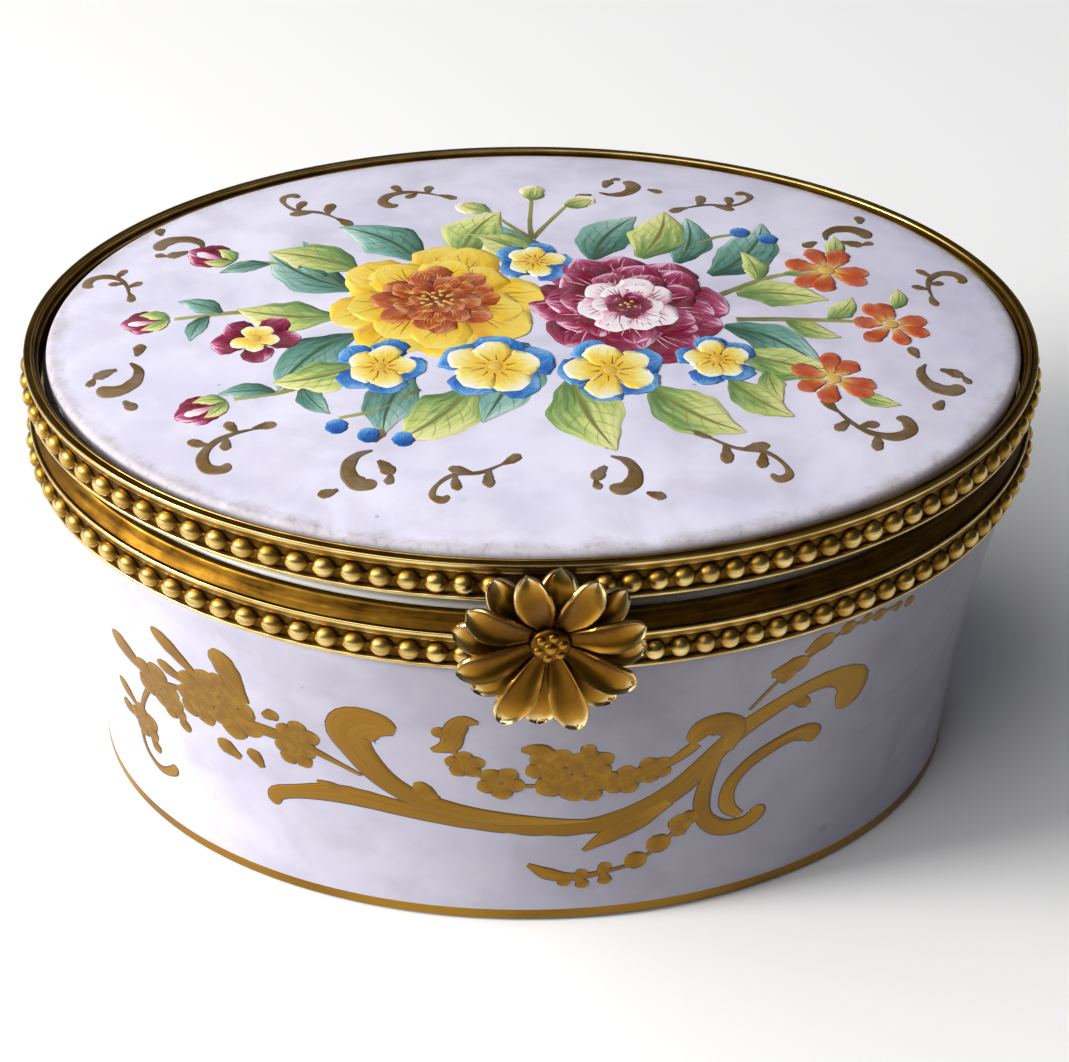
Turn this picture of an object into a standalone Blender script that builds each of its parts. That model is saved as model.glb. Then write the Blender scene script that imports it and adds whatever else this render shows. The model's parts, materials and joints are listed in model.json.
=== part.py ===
"""Oval porcelain trinket box with gilt-brass mounts, a hinged lid and a rosette clasp.

Metres, +Z up, the clasp towards -Y and the hinge towards +Y. The origin is under the middle of the foot.
Sections of the mounts are given as (out, z) points: out is measured outwards from the oval of the ridges.
The lid is modelled shut, then its parent empty on the hinge axis lifts it until the clasp's nub rests on
the ridge of the base mount.
"""
import math

import bmesh
import bpy
from mathutils import Matrix

MM = 0.001

# Ovals
ridge_half_width = 40.1 * MM
ridge_half_depth = 30.5 * MM
foot_half_width = 36.2 * MM
foot_half_depth = 26.2 * MM

# Heights
base_ridge_top = 33.4 * MM
lid_crown = 2.2 * MM

# Clearances
seat_gap = 0.3 * MM
closing_gap = 0.3 * MM
pin_running_gap = 0.1 * MM

# Mount moulding, shared by both mounts
mount_wall = 1.15 * MM
ridge_height = 1.0 * MM
channel_height = 1.9 * MM
channel_depth = 0.4 * MM
fillet_height = 0.4 * MM
edge_break = 0.1 * MM
lip_thickness = 0.5 * MM
lip_reach = 0.6 * MM
band_rise = 1.15 * MM
band_dip = 0.15 * MM
cove_fall = 0.6 * MM
cove_dip = 0.1 * MM

# Cement
cement_wall = 0.4 * MM

# Beaded wire
bead_pitch = 1.93 * MM
bead_radius = 0.72 * MM
bead_neck_radius = 0.3 * MM
bead_relief = 0.7 * MM

# Porcelain bowl
bowl_wall = 3.2 * MM
neck_wall = 1.9 * MM
neck_radius = 0.3 * MM
shoulder_inset = 0.6 * MM
foot_ring_width = 2.4 * MM
foot_recess = 1.3 * MM
foot_edge_radius = 0.6 * MM
floor_thickness = 3.0 * MM
floor_radius = 4.0 * MM

# Porcelain lid plate
plaque_wall = 2.2 * MM
plaque_thickness = 2.6 * MM
plaque_edge_radius = 0.7 * MM
plaque_edge_rise = 0.25 * MM

# Hinge
knuckle_radius = 1.4 * MM
pin_radius = 0.6 * MM
pin_overhang = 0.25 * MM
knuckle_length = 2.8 * MM
knuckle_gap = 0.3 * MM
leaf_thickness = 0.7 * MM
leaf_margin = 0.5 * MM
web_thickness = 1.0 * MM

# Clasp
tongue_width = 4.0 * MM
tongue_thickness = 0.4 * MM
tongue_tail = 1.2 * MM
nub_radius = 0.4 * MM
nub_clearance = 0.1 * MM
rosette_radius = 7.0 * MM
rosette_drop = 1.7 * MM
petal_sheet = 0.4 * MM
petal_rise = 0.8 * MM
petal_hollow = 0.35 * MM
petal_notch_radius = 2.9 * MM
back_notch_radius = 4.2 * MM
rivet_head_radius = 1.65 * MM
rivet_head_height = 0.75 * MM
rivet_shank_radius = 0.6 * MM
rivet_hole_radius = 0.9 * MM

# Counts and angles
oval_segments = 60
knuckles = 5
petals = 8
petal_steps = 6
petal_rings = 4
petal_phase = math.radians(16.0)
petal_middle_share = 0.5
petal_point_share = 0.6
round_steps = 16
pin_steps = 12
leaf_steps = 6
arc_fine_steps = 2000
bowl_wall_steps = 4
dome_steps = 4

# Shape shares, chosen by hand: (share of the wall's height, share of the flare from foot to rim)
wall_flare_shares = (
    (0.06, 0.0), (0.16, 0.04), (0.28, 0.10), (0.42, 0.20), (0.56, 0.34),
    (0.70, 0.52), (0.84, 0.74), (0.94, 0.92), (1.0, 1.0),
)
# Share of a rounded edge's radius by which its middle point stands in from the corner
edge_middle_share = 0.3
# (share of the plate's half width, share of the crown's height)
crown_shares = ((0.97, 0.10), (0.92, 0.22), (0.82, 0.42), (0.66, 0.66), (0.44, 0.86), (0.2, 0.97))

# Worked-out places
moulding_height = ridge_height + channel_height + fillet_height
base_ring_bottom = base_ridge_top - moulding_height
parting_z = base_ridge_top + band_rise
lid_ring_bottom = parting_z + closing_gap
lid_ridge_top = lid_ring_bottom + moulding_height
ring_inner = -mount_wall
cement_outer = ring_inner - seat_gap
cement_inner = cement_outer - cement_wall
neck_outer = cement_inner - seat_gap
shoulder_top = base_ring_bottom - seat_gap
neck_top = parting_z - edge_break
lid_lip_top = lid_ridge_top - cove_fall
plaque_edge_z = lid_lip_top + plaque_edge_rise
skirt_bottom = lid_ring_bottom + edge_break
hinge_y = ridge_half_depth + seat_gap + knuckle_radius
hinge_z = (parting_z + lid_ring_bottom) / 2
knuckle_step = knuckle_length + knuckle_gap
hinge_length = knuckles * knuckle_length + (knuckles - 1) * knuckle_gap
leaf_half_length = hinge_length / 2 + leaf_margin
tongue_out = seat_gap
tongue_front = tongue_out + tongue_thickness
nub_shut_z = base_ridge_top - ridge_height - nub_radius
nub_open_z = base_ridge_top + nub_radius
tongue_foot_z = lid_ring_bottom + fillet_height + channel_height / 2
ajar_angle = math.asin((nub_open_z - nub_shut_z) / (hinge_y + ridge_half_depth))
rosette_z = lid_ring_bottom - rosette_drop
clasp_flex_z = tongue_foot_z

PARTS = "porcelain_box"
CUTTERS = "cutters"


def clear_scene():
    """Remove every object and give the file its two collections."""
    for item in list(bpy.data.objects):
        bpy.data.objects.remove(item, do_unlink=True)
    for name in (PARTS, CUTTERS):
        if name not in bpy.data.collections:
            bpy.context.scene.collection.children.link(bpy.data.collections.new(name))


def make_material(name, colour, roughness, metallic=0.0):
    """Principled material with one colour."""
    material = bpy.data.materials.new(name)
    material.use_nodes = True
    shader = material.node_tree.nodes["Principled BSDF"]
    shader.inputs["Base Color"].default_value = (*colour, 1.0)
    shader.inputs["Roughness"].default_value = roughness
    shader.inputs["Metallic"].default_value = metallic
    material.diffuse_color = (*colour, 1.0)
    return material


def add_object(name, bm, collection=PARTS, smooth=True):
    """Turn a bmesh into a named object with its faces pointing out."""
    bmesh.ops.recalc_face_normals(bm, faces=bm.faces)
    mesh = bpy.data.meshes.new(name)
    bm.to_mesh(mesh)
    bm.free()
    if smooth:
        mesh.shade_smooth()
        mesh.set_sharp_from_angle(angle=math.radians(35))
    item = bpy.data.objects.new(name, mesh)
    bpy.data.collections[collection].objects.link(item)
    return item


def oval_point(out, angle):
    """Point of the oval that lies out beyond the ridge oval."""
    return (
        (ridge_half_width + out) * math.cos(angle),
        (ridge_half_depth + out) * math.sin(angle),
    )


def skin_loops(bm, loops):
    """Join each closed loop of vertices to the next with quads."""
    for lower, upper in zip(loops, loops[1:]):
        for i in range(len(lower)):
            j = (i + 1) % len(lower)
            bm.faces.new((lower[i], lower[j], upper[j], upper[i]))


def sweep_levels(levels):
    """Solid from ovals (half width, half depth, z), capped at its first and last oval."""
    bm = bmesh.new()
    loops = []
    for half_width, half_depth, z in levels:
        turns = [math.tau * i / oval_segments for i in range(oval_segments)]
        loops.append([bm.verts.new((half_width * math.cos(a), half_depth * math.sin(a), z)) for a in turns])
    skin_loops(bm, loops)
    bm.faces.new(loops[0])
    bm.faces.new(loops[-1])
    return bm


def sweep_ring(section):
    """Closed ring whose (out, z) section runs all the way round the oval."""
    bm = bmesh.new()
    loops = []
    for i in range(oval_segments):
        angle = math.tau * i / oval_segments
        loops.append([bm.verts.new((*oval_point(out, angle), z)) for out, z in section])
    skin_loops(bm, loops + loops[:1])
    return bm


def sweep_arc(sections, angles):
    """Bar along part of the oval, with one (out, z) section for each angle and a cap at each end."""
    bm = bmesh.new()
    loops = []
    for section, angle in zip(sections, angles):
        loops.append([bm.verts.new((*oval_point(out, angle), z)) for out, z in section])
    skin_loops(bm, loops)
    bm.faces.new(loops[0])
    bm.faces.new(loops[-1])
    return bm


def moulding(bottom):
    """Outer face of a mount, from its lower fillet up to its ridge."""
    channel_bottom = bottom + fillet_height
    channel_top = channel_bottom + channel_height
    ridge_top = channel_top + ridge_height
    return [
        (-edge_break, bottom),
        (0, bottom + edge_break),
        (0, channel_bottom - edge_break),
        (-channel_depth, channel_bottom),
        (-channel_depth, channel_top),
        (-channel_depth / 2, channel_top + edge_break),
        (0, ridge_top - edge_break),
        (-edge_break, ridge_top),
    ]


def build_base_ring(material):
    """Base mount: the moulding, and above it a band that slopes in to the lip."""
    lip_outer = ring_inner - edge_break
    lip_inner = ring_inner - lip_reach
    section = moulding(base_ring_bottom) + [
        ((lip_outer - edge_break) / 2, base_ridge_top + band_rise / 2 - band_dip),
        (lip_outer, parting_z),
        (lip_inner, parting_z),
        (lip_inner, parting_z - lip_thickness),
        (ring_inner, parting_z - lip_thickness - edge_break),
        (ring_inner, base_ring_bottom),
    ]
    ring = add_object("base_ring", sweep_ring(section))
    ring.data.materials.append(material)
    return ring


def build_lid_ring(material):
    """Lid mount: the moulding, and a shallow cove from the ridge in to the lip round the plate."""
    lip_inner = ring_inner - lip_reach
    section = moulding(lid_ring_bottom) + [
        ((lip_inner - edge_break) / 2, (lid_ridge_top + lid_lip_top) / 2 - cove_dip),
        (lip_inner, lid_lip_top),
        (lip_inner, lid_lip_top - lip_thickness),
        (ring_inner, lid_lip_top - lip_thickness),
        (ring_inner, lid_ring_bottom),
    ]
    ring = add_object("lid_ring", sweep_ring(section))
    ring.data.materials.append(material)
    return ring


def build_cement(name, bottom, top, material):
    """Plaster bed between a mount and the porcelain inside it."""
    section = [(cement_outer, bottom), (cement_outer, top), (cement_inner, top), (cement_inner, bottom)]
    bed = add_object(name, sweep_ring(section), smooth=False)
    bed.data.materials.append(material)
    return bed


def wall_oval(height_share, flare_share, inset):
    """Oval of the bowl's outer wall at a share of its height, moved in by inset."""
    rim_half_width = ridge_half_width - shoulder_inset
    rim_half_depth = ridge_half_depth - shoulder_inset
    return (
        foot_half_width + (rim_half_width - foot_half_width) * flare_share - inset,
        foot_half_depth + (rim_half_depth - foot_half_depth) * flare_share - inset,
        shoulder_top * height_share,
    )


def inner_oval(z):
    """Oval of the bowl's inner wall at a height, a wall's thickness inside the outer one."""
    share = z / shoulder_top
    lower = (0.0, 0.0)
    for upper in wall_flare_shares:
        if share <= upper[0]:
            part = (share - lower[0]) / (upper[0] - lower[0])
            return wall_oval(share, lower[1] + (upper[1] - lower[1]) * part, bowl_wall)
        lower = upper
    return wall_oval(1.0, 1.0, bowl_wall)[:2] + (z,)


def build_bowl(material):
    """Porcelain bowl: foot ring, waisted wall, neck inside the mount, and the hollow."""
    floor_z = foot_recess + floor_thickness
    foot = (foot_half_width, foot_half_depth)
    foot_edge_middle = foot_edge_radius * edge_middle_share
    levels = [
        (foot[0] - foot_ring_width - foot_recess, foot[1] - foot_ring_width - foot_recess, foot_recess),
        (foot[0] - foot_ring_width, foot[1] - foot_ring_width, 0),
        (foot[0] - foot_edge_radius, foot[1] - foot_edge_radius, 0),
        (foot[0] - foot_edge_middle, foot[1] - foot_edge_middle, foot_edge_middle),
    ]
    levels += [wall_oval(height, flare, 0) for height, flare in wall_flare_shares]
    neck_half_width = ridge_half_width + neck_outer
    neck_half_depth = ridge_half_depth + neck_outer
    levels += [
        (neck_half_width, neck_half_depth, shoulder_top),
        (neck_half_width, neck_half_depth, neck_top - neck_radius),
        (neck_half_width - neck_radius, neck_half_depth - neck_radius, neck_top),
        (neck_half_width - neck_wall + neck_radius, neck_half_depth - neck_wall + neck_radius, neck_top),
        (neck_half_width - neck_wall, neck_half_depth - neck_wall, neck_top - neck_radius),
    ]
    inner_top = shoulder_top
    inner_bottom = floor_z + floor_radius
    for i in range(bowl_wall_steps + 1):
        levels.append(inner_oval(inner_top + (inner_bottom - inner_top) * i / bowl_wall_steps))
    half_width, half_depth, _ = levels[-1]
    for turn in (30, 60, 90):
        angle = math.radians(turn)
        inset = floor_radius * (1 - math.cos(angle))
        levels.append((half_width - inset, half_depth - inset, inner_bottom - floor_radius * math.sin(angle)))
    bowl = add_object("base_bowl", sweep_levels(levels))
    bowl.data.materials.append(material)
    return bowl


def build_plaque(material):
    """Porcelain lid plate: a low crown, a rolled edge and a short skirt inside the mount."""
    half_width = ridge_half_width + neck_outer
    half_depth = ridge_half_depth + neck_outer
    hollow_z = plaque_edge_z - plaque_thickness
    edge_middle = plaque_edge_radius * edge_middle_share
    levels = []
    inner_half_width = half_width - plaque_wall
    inner_half_depth = half_depth - plaque_wall
    for share, crown in crown_shares[::-2]:
        levels.append((inner_half_width * share, inner_half_depth * share, hollow_z + lid_crown * crown))
    levels += [
        (inner_half_width, inner_half_depth, hollow_z),
        (inner_half_width, inner_half_depth, skirt_bottom),
        (half_width, half_depth, skirt_bottom),
        (half_width, half_depth, plaque_edge_z - plaque_edge_radius),
        (half_width - edge_middle, half_depth - edge_middle, plaque_edge_z - edge_middle),
    ]
    for share, crown in crown_shares:
        levels.append((half_width * share, half_depth * share, plaque_edge_z + lid_crown * crown))
    plaque = add_object("lid_plaque", sweep_levels(levels))
    plaque.data.materials.append(material)
    return plaque


def arc_angles(start, end, pitch, out):
    """Angles from start to end, as far apart along the oval as pitch, with whole steps."""
    lengths = [0.0]
    angles = [start + (end - start) * i / arc_fine_steps for i in range(arc_fine_steps + 1)]
    for a, b in zip(angles, angles[1:]):
        lengths.append(lengths[-1] + math.dist(oval_point(out, a), oval_point(out, b)))
    count = round(lengths[-1] / pitch)
    marks = []
    place = 0
    for i in range(count + 1):
        wanted = lengths[-1] * i / count
        while place < arc_fine_steps and lengths[place] < wanted:
            place += 1
        marks.append(angles[place])
    return marks


def build_bead_wire(name, ring_bottom, side, material):
    """Beaded half-round wire in a mount's channel, from the clasp to the hinge on one side."""
    back_out = -channel_depth + seat_gap
    middle_z = ring_bottom + fillet_height + channel_height / 2
    clasp_half_angle = (tongue_width / 2 + seat_gap + bead_radius) / ridge_half_width
    hinge_half_angle = (leaf_half_length + seat_gap + bead_radius) / ridge_half_width
    start = -math.pi / 2 + side * clasp_half_angle
    end = -math.pi / 2 + side * (math.pi - hinge_half_angle)
    angles = arc_angles(start, end, bead_pitch / 2, 0)
    sections = []
    for i in range(len(angles)):
        radius = bead_radius if i % 2 else bead_neck_radius
        relief = bead_relief * radius / bead_radius
        turns = [math.radians(-90 + 45 * k) for k in range(5)]
        sections.append([
            (back_out + relief * math.cos(a), middle_z + radius * math.sin(a)) for a in turns
        ])
    wire = add_object(name, sweep_arc(sections, angles))
    wire.data.materials.append(material)
    return wire


def add_tube_along_x(name, x_middle, length, radius, collection, steps):
    """Cylinder along the hinge axis."""
    bm = bmesh.new()
    bmesh.ops.create_cone(bm, cap_ends=True, segments=steps, radius1=radius, radius2=radius, depth=length)
    turn = Matrix.Rotation(math.pi / 2, 4, "Y")
    bmesh.ops.transform(bm, matrix=Matrix.Translation((x_middle, hinge_y, hinge_z)) @ turn, verts=bm.verts)
    return add_object(name, bm, collection)


def add_block(name, low, high, collection):
    """Box between two corners."""
    bm = bmesh.new()
    bmesh.ops.create_cube(bm, size=1)
    size = [b - a for a, b in zip(low, high)]
    middle = [(a + b) / 2 for a, b in zip(low, high)]
    place = Matrix.Translation(middle) @ Matrix.Diagonal((*size, 1))
    bmesh.ops.transform(bm, matrix=place, verts=bm.verts)
    return add_object(name, bm, collection, smooth=False)


def combine(item, tool, operation):
    """Exact boolean with a hidden tool object."""
    tool.hide_render = True
    tool.display_type = "WIRE"
    modifier = item.modifiers.new(tool.name, "BOOLEAN")
    modifier.operation = operation
    modifier.object = tool
    modifier.solver = "EXACT"


def build_hinge_leaf(name, upward, far, own_knuckles, material):
    """Leaf over the mount as far as its edge, with its share of the knuckles and webs, bored for the pin."""
    near = hinge_z + upward * (knuckle_radius + seat_gap + edge_break)
    half_angle = leaf_half_length / ridge_half_width
    angles = [math.pi / 2 + half_angle * (2 * i / leaf_steps - 1) for i in range(leaf_steps + 1)]
    outer = seat_gap + leaf_thickness
    section = [(seat_gap, near), (seat_gap, far), (outer, far), (outer, near)]
    leaf = add_object(name, sweep_arc([section] * len(angles), angles))
    leaf.data.materials.append(material)
    web_inner = ridge_half_depth + seat_gap
    for index in own_knuckles:
        middle = (index - (knuckles - 1) / 2) * knuckle_step
        barrel_name = f"{name}_barrel_{index}"
        barrel = add_tube_along_x(barrel_name, middle, knuckle_length, knuckle_radius, CUTTERS, round_steps)
        combine(leaf, barrel, "UNION")
        ends = sorted((hinge_z, (near + far) / 2))
        web = add_block(
            f"{name}_web_{index}",
            (middle - knuckle_length / 2, web_inner, ends[0]),
            (middle + knuckle_length / 2, web_inner + web_thickness, ends[1]),
            CUTTERS,
        )
        combine(leaf, web, "UNION")
    bore_length = hinge_length + 2 * pin_overhang
    bore = add_tube_along_x(f"{name}_bore", 0, bore_length, pin_radius + pin_running_gap, CUTTERS, round_steps)
    combine(leaf, bore, "DIFFERENCE")
    return leaf


def build_hinge_pin(material):
    """Wire pin through the five knuckles."""
    pin = add_tube_along_x("hinge_pin", 0, hinge_length + 2 * pin_overhang, pin_radius, PARTS, pin_steps)
    pin.data.materials.append(material)
    return pin


def build_tongue(material):
    """Springy strip from the lid mount's channel down past the base ridge, with a nub at its end."""
    foot_out = seat_gap - channel_depth
    foot_half = (channel_height / 2) - seat_gap
    tail_z = nub_shut_z - tongue_tail
    turns = [math.radians(-90 - 45 * k) for k in range(5)]
    nub_out = nub_clearance + nub_radius
    outline = [
        (tongue_front, tongue_foot_z + foot_half),
        (tongue_front, tail_z),
        (tongue_out, tail_z),
    ]
    outline += [(nub_out + nub_radius * math.cos(a), nub_shut_z + nub_radius * math.sin(a)) for a in turns]
    outline += [
        (tongue_out, nub_shut_z + nub_radius + seat_gap),
        (tongue_out, tongue_foot_z - foot_half),
        (foot_out, tongue_foot_z - foot_half),
        (foot_out, tongue_foot_z + foot_half),
    ]
    bm = bmesh.new()
    loops = []
    for x in (-tongue_width / 2, tongue_width / 2):
        loops.append([bm.verts.new((x, -ridge_half_depth - out, z)) for out, z in outline])
    skin_loops(bm, loops)
    bm.faces.new(loops[0])
    bm.faces.new(loops[-1])
    tongue = add_object("clasp_tongue", bm, smooth=False)
    tongue.data.materials.append(material)
    hole_low = -ridge_half_depth - tongue_front - seat_gap
    hole = add_drill("clasp_tongue_hole", hole_low, -ridge_half_depth, rivet_hole_radius)
    combine(tongue, hole, "DIFFERENCE")
    return tongue


def add_drill(name, y_low, y_high, radius):
    """Cutter along the rosette's axis."""
    bm = bmesh.new()
    depth = y_high - y_low
    bmesh.ops.create_cone(bm, cap_ends=True, segments=pin_steps, radius1=radius, radius2=radius, depth=depth)
    turn = Matrix.Rotation(math.pi / 2, 4, "X")
    middle = (y_low + y_high) / 2
    bmesh.ops.transform(bm, matrix=Matrix.Translation((0, middle, rosette_z)) @ turn, verts=bm.verts)
    return add_object(name, bm, CUTTERS)


def build_petals(name, back, phase, notch_radius, material):
    """Layer of spoon-shaped petals in one casting: a star in plan, cupped towards its tips."""
    bm = bmesh.new()
    count = petals * petal_steps
    front_loops = []
    rear_loops = []
    for ring in range(petal_rings + 1):
        share = ring / petal_rings
        front = []
        rear = []
        for i in range(count):
            angle = phase + math.tau * i / count
            across = abs(2 * ((i / petal_steps + petal_middle_share) % 1) - 1)
            arch = (1 - across) ** petal_point_share
            tip = notch_radius + (rosette_radius - notch_radius) * arch
            radius = rivet_hole_radius + (tip - rivet_hole_radius) * share
            cup = petal_rise * (radius / rosette_radius) ** 2
            rim = petal_hollow * min(1, 2 * share) * (1 - arch * math.sin(math.pi * share))
            x = radius * math.cos(angle)
            z = rosette_z + radius * math.sin(angle)
            front.append(bm.verts.new((x, back - petal_sheet - cup - rim, z)))
            rear.append(bm.verts.new((x, back - cup, z)))
        front_loops.append(front)
        rear_loops.append(rear)
    skin_loops(bm, front_loops + rear_loops[::-1] + front_loops[:1])
    layer = add_object(name, bm)
    layer.data.materials.append(material)
    return layer


def build_rivet(front, material):
    """Boss of the rosette with its shank, peened flush with the back of the tongue."""
    tail_y = -ridge_half_depth - tongue_out
    head_y = front - seat_gap
    profile = [(rivet_shank_radius, tail_y), (rivet_shank_radius, head_y), (rivet_head_radius, head_y)]
    for i in range(1, dome_steps):
        angle = math.pi / 2 * i / dome_steps
        profile.append((rivet_head_radius * math.cos(angle), head_y - rivet_head_height * math.sin(angle)))
    bm = bmesh.new()
    loops = []
    for radius, y in profile:
        turns = [math.tau * i / pin_steps for i in range(pin_steps)]
        loops.append([bm.verts.new((radius * math.cos(a), y, rosette_z + radius * math.sin(a))) for a in turns])
    skin_loops(bm, loops)
    bm.faces.new(loops[0])
    bm.faces.new(loops[-1])
    rivet = add_object("rosette_rivet", bm)
    rivet.data.materials.append(material)
    return rivet


def hang(children, name, place, parent=None):
    """Parent pieces to an empty on their joint's axis."""
    empty = bpy.data.objects.new(name, None)
    bpy.data.collections[PARTS].objects.link(empty)
    empty.location = place
    for child in children:
        child.parent = empty
        child.matrix_parent_inverse = Matrix.Translation(place).inverted()
    if parent is not None:
        empty.parent = parent
        empty.matrix_parent_inverse = Matrix.Translation(parent.location).inverted()
    return empty


def build():
    clear_scene()
    porcelain = make_material("porcelain", (0.62, 0.60, 0.72), 0.15)
    gilding = make_material("gilt_brass", (0.62, 0.43, 0.13), 0.32, 1.0)
    antique = make_material("antique_brass", (0.52, 0.33, 0.10), 0.38, 1.0)
    pin_metal = make_material("pin_brass", (0.55, 0.42, 0.20), 0.4, 1.0)
    plaster = make_material("plaster", (0.45, 0.40, 0.33), 0.9)

    build_bowl(porcelain)
    build_base_ring(gilding)
    cement_top = parting_z - lip_thickness - edge_break - seat_gap
    build_cement("base_ring_cement", base_ring_bottom + edge_break, cement_top, plaster)
    build_bead_wire("base_bead_wire_left", base_ring_bottom, -1, gilding)
    build_bead_wire("base_bead_wire_right", base_ring_bottom, 1, gilding)
    build_hinge_leaf("base_hinge_leaf", -1, base_ring_bottom, (0, 2, 4), gilding)
    build_hinge_pin(pin_metal)

    lid_cement_top = lid_lip_top - lip_thickness - seat_gap
    lid = [
        build_plaque(porcelain),
        build_lid_ring(gilding),
        build_cement("lid_ring_cement", skirt_bottom, lid_cement_top, plaster),
        build_bead_wire("lid_bead_wire_left", lid_ring_bottom, -1, gilding),
        build_bead_wire("lid_bead_wire_right", lid_ring_bottom, 1, gilding),
        build_hinge_leaf("lid_hinge_leaf", 1, lid_ridge_top, (1, 3), gilding),
    ]

    layer_pitch = petal_sheet + seat_gap
    rear_back = -ridge_half_depth - tongue_front - seat_gap
    front_back = rear_back - layer_pitch - petal_hollow
    half_petal = math.pi / petals
    clasp = [
        build_tongue(antique),
        build_petals("rosette_back_petals", rear_back, petal_phase + half_petal, back_notch_radius, antique),
        build_petals("rosette_front_petals", front_back, petal_phase, petal_notch_radius, antique),
        build_rivet(front_back - petal_sheet, antique),
    ]

    axis = hang(lid, "lid_hinge_axis", (0, hinge_y, hinge_z))
    flex_y = -ridge_half_depth - (tongue_out + tongue_front) / 2
    hang(clasp, "clasp_flex_axis", (0, flex_y, clasp_flex_z), parent=axis)
    for child in lid + clasp:
        hang_tools(child, axis)
    axis.rotation_euler = (-ajar_angle, 0, 0)


def hang_tools(child, axis):
    """A piece's boolean tools follow the lid, so that they meet the piece where it is."""
    for modifier in child.modifiers:
        tool = modifier.object
        tool.parent = axis
        tool.matrix_parent_inverse = Matrix.Translation(axis.location).inverted()


build()
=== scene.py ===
"""Looks of the oval porcelain trinket box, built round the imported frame.

Metres, +Z up, the clasp towards -Y. Pieces of the lid and the clasp are modelled shut, then turned about
the hinge by the angle at which the lid rests ajar. Sections of the mounts are (out, z) points, where out is
measured outwards from the oval of the ridges. Painted ornament is low raised patches that lie on the glaze:
each one is a brush stroke with its own coordinates, which its material reads.
"""

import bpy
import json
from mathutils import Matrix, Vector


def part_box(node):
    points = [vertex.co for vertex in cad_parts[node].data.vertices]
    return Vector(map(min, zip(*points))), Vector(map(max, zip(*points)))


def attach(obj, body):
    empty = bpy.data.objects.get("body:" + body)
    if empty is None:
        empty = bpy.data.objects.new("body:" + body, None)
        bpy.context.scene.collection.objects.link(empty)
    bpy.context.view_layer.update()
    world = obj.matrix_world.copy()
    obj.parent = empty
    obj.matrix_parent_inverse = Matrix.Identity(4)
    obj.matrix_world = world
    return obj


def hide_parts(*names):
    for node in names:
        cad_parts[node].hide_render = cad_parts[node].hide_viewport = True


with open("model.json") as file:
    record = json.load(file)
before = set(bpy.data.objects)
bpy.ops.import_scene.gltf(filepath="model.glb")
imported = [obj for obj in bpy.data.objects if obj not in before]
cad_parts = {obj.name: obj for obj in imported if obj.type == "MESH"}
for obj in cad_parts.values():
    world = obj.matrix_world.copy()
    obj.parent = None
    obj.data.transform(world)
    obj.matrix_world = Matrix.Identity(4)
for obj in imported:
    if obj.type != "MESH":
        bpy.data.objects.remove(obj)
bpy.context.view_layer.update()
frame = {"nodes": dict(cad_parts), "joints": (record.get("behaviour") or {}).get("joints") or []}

import json
import math
import random

import bmesh
import bpy
import numpy as np
from mathutils import Matrix, Vector

MM = 0.001
TAU = math.tau

# Sizes read from the frame
base_ring_low, base_ring_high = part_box("base_ring")
ridge_half_width = base_ring_high.x
ridge_half_depth = base_ring_high.y
base_ring_bottom = base_ring_low.z
parting_z = base_ring_high.z
neck_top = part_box("base_bowl")[1].z
joints = {joint["name"]: joint for joint in frame["joints"]}
hinge_place = Vector(joints["lid_hinge"]["pos_m"])
ajar_angle = math.radians(joints["lid_hinge"]["range_deg"][0])
hinge_y = hinge_place.y
hinge_z = hinge_place.z

# Sizes that the frame doesn't state. Beads, lid lip and crown depart a little from the solids
closing_gap = 0.3 * MM
seat_gap = 0.3 * MM
mount_wall = 1.15 * MM
ridge_height = 1.0 * MM
channel_height = 1.9 * MM
channel_depth = 0.4 * MM
fillet_height = 0.4 * MM
edge_break = 0.1 * MM
lip_thickness = 0.5 * MM
lip_reach = 0.6 * MM
lid_lip_out = -0.85 * MM
lid_lip_rise = 0.12 * MM
band_rise = 1.15 * MM
band_dip = 0.15 * MM
cove_fall = 0.6 * MM
cove_dip = 0.1 * MM
cement_wall = 0.4 * MM
mount_edge_radius = 0.09 * MM
inner_faces_out = -0.6 * MM
bead_pitch = 1.93 * MM
bead_radius = 0.82 * MM
bead_neck_radius = 0.16 * MM
bead_relief = 0.72 * MM
left_bead_stretch = 0.03
left_bead_swell = 0.18
foot_half_width = 36.2 * MM
foot_half_depth = 26.2 * MM
shoulder_inset = 0.6 * MM
bowl_wall = 3.2 * MM
neck_wall = 1.9 * MM
neck_radius = 0.3 * MM
foot_ring_width = 2.4 * MM
foot_recess = 1.3 * MM
foot_edge_radius = 0.6 * MM
floor_thickness = 3.0 * MM
floor_radius = 4.0 * MM
lid_crown = 1.95 * MM
plaque_wall = 2.2 * MM
plaque_thickness = 2.6 * MM
plaque_edge_radius = 0.4 * MM
plaque_edge_rise = 0.5 * MM
plaque_overhang = 0.6 * MM
plate_shift = (0.2 * MM, 0.1 * MM)
knuckle_radius = 1.4 * MM
pin_radius = 0.6 * MM
pin_running_gap = 0.1 * MM
pin_overhang = 0.25 * MM
knuckle_length = 2.8 * MM
knuckle_gap = 0.3 * MM
leaf_thickness = 0.7 * MM
leaf_margin = 0.5 * MM
web_thickness = 1.0 * MM
knuckles = 5
tongue_width = 4.0 * MM
tongue_thickness = 0.4 * MM
rosette_radius = 7.05 * MM
rosette_drop = 1.7 * MM
petal_sheet = 0.4 * MM
petal_hollow = 0.35 * MM
petals = 8
petal_phase = math.radians(16.0)
rivet_head_radius = 1.65 * MM
rivet_head_height = 0.75 * MM

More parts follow.
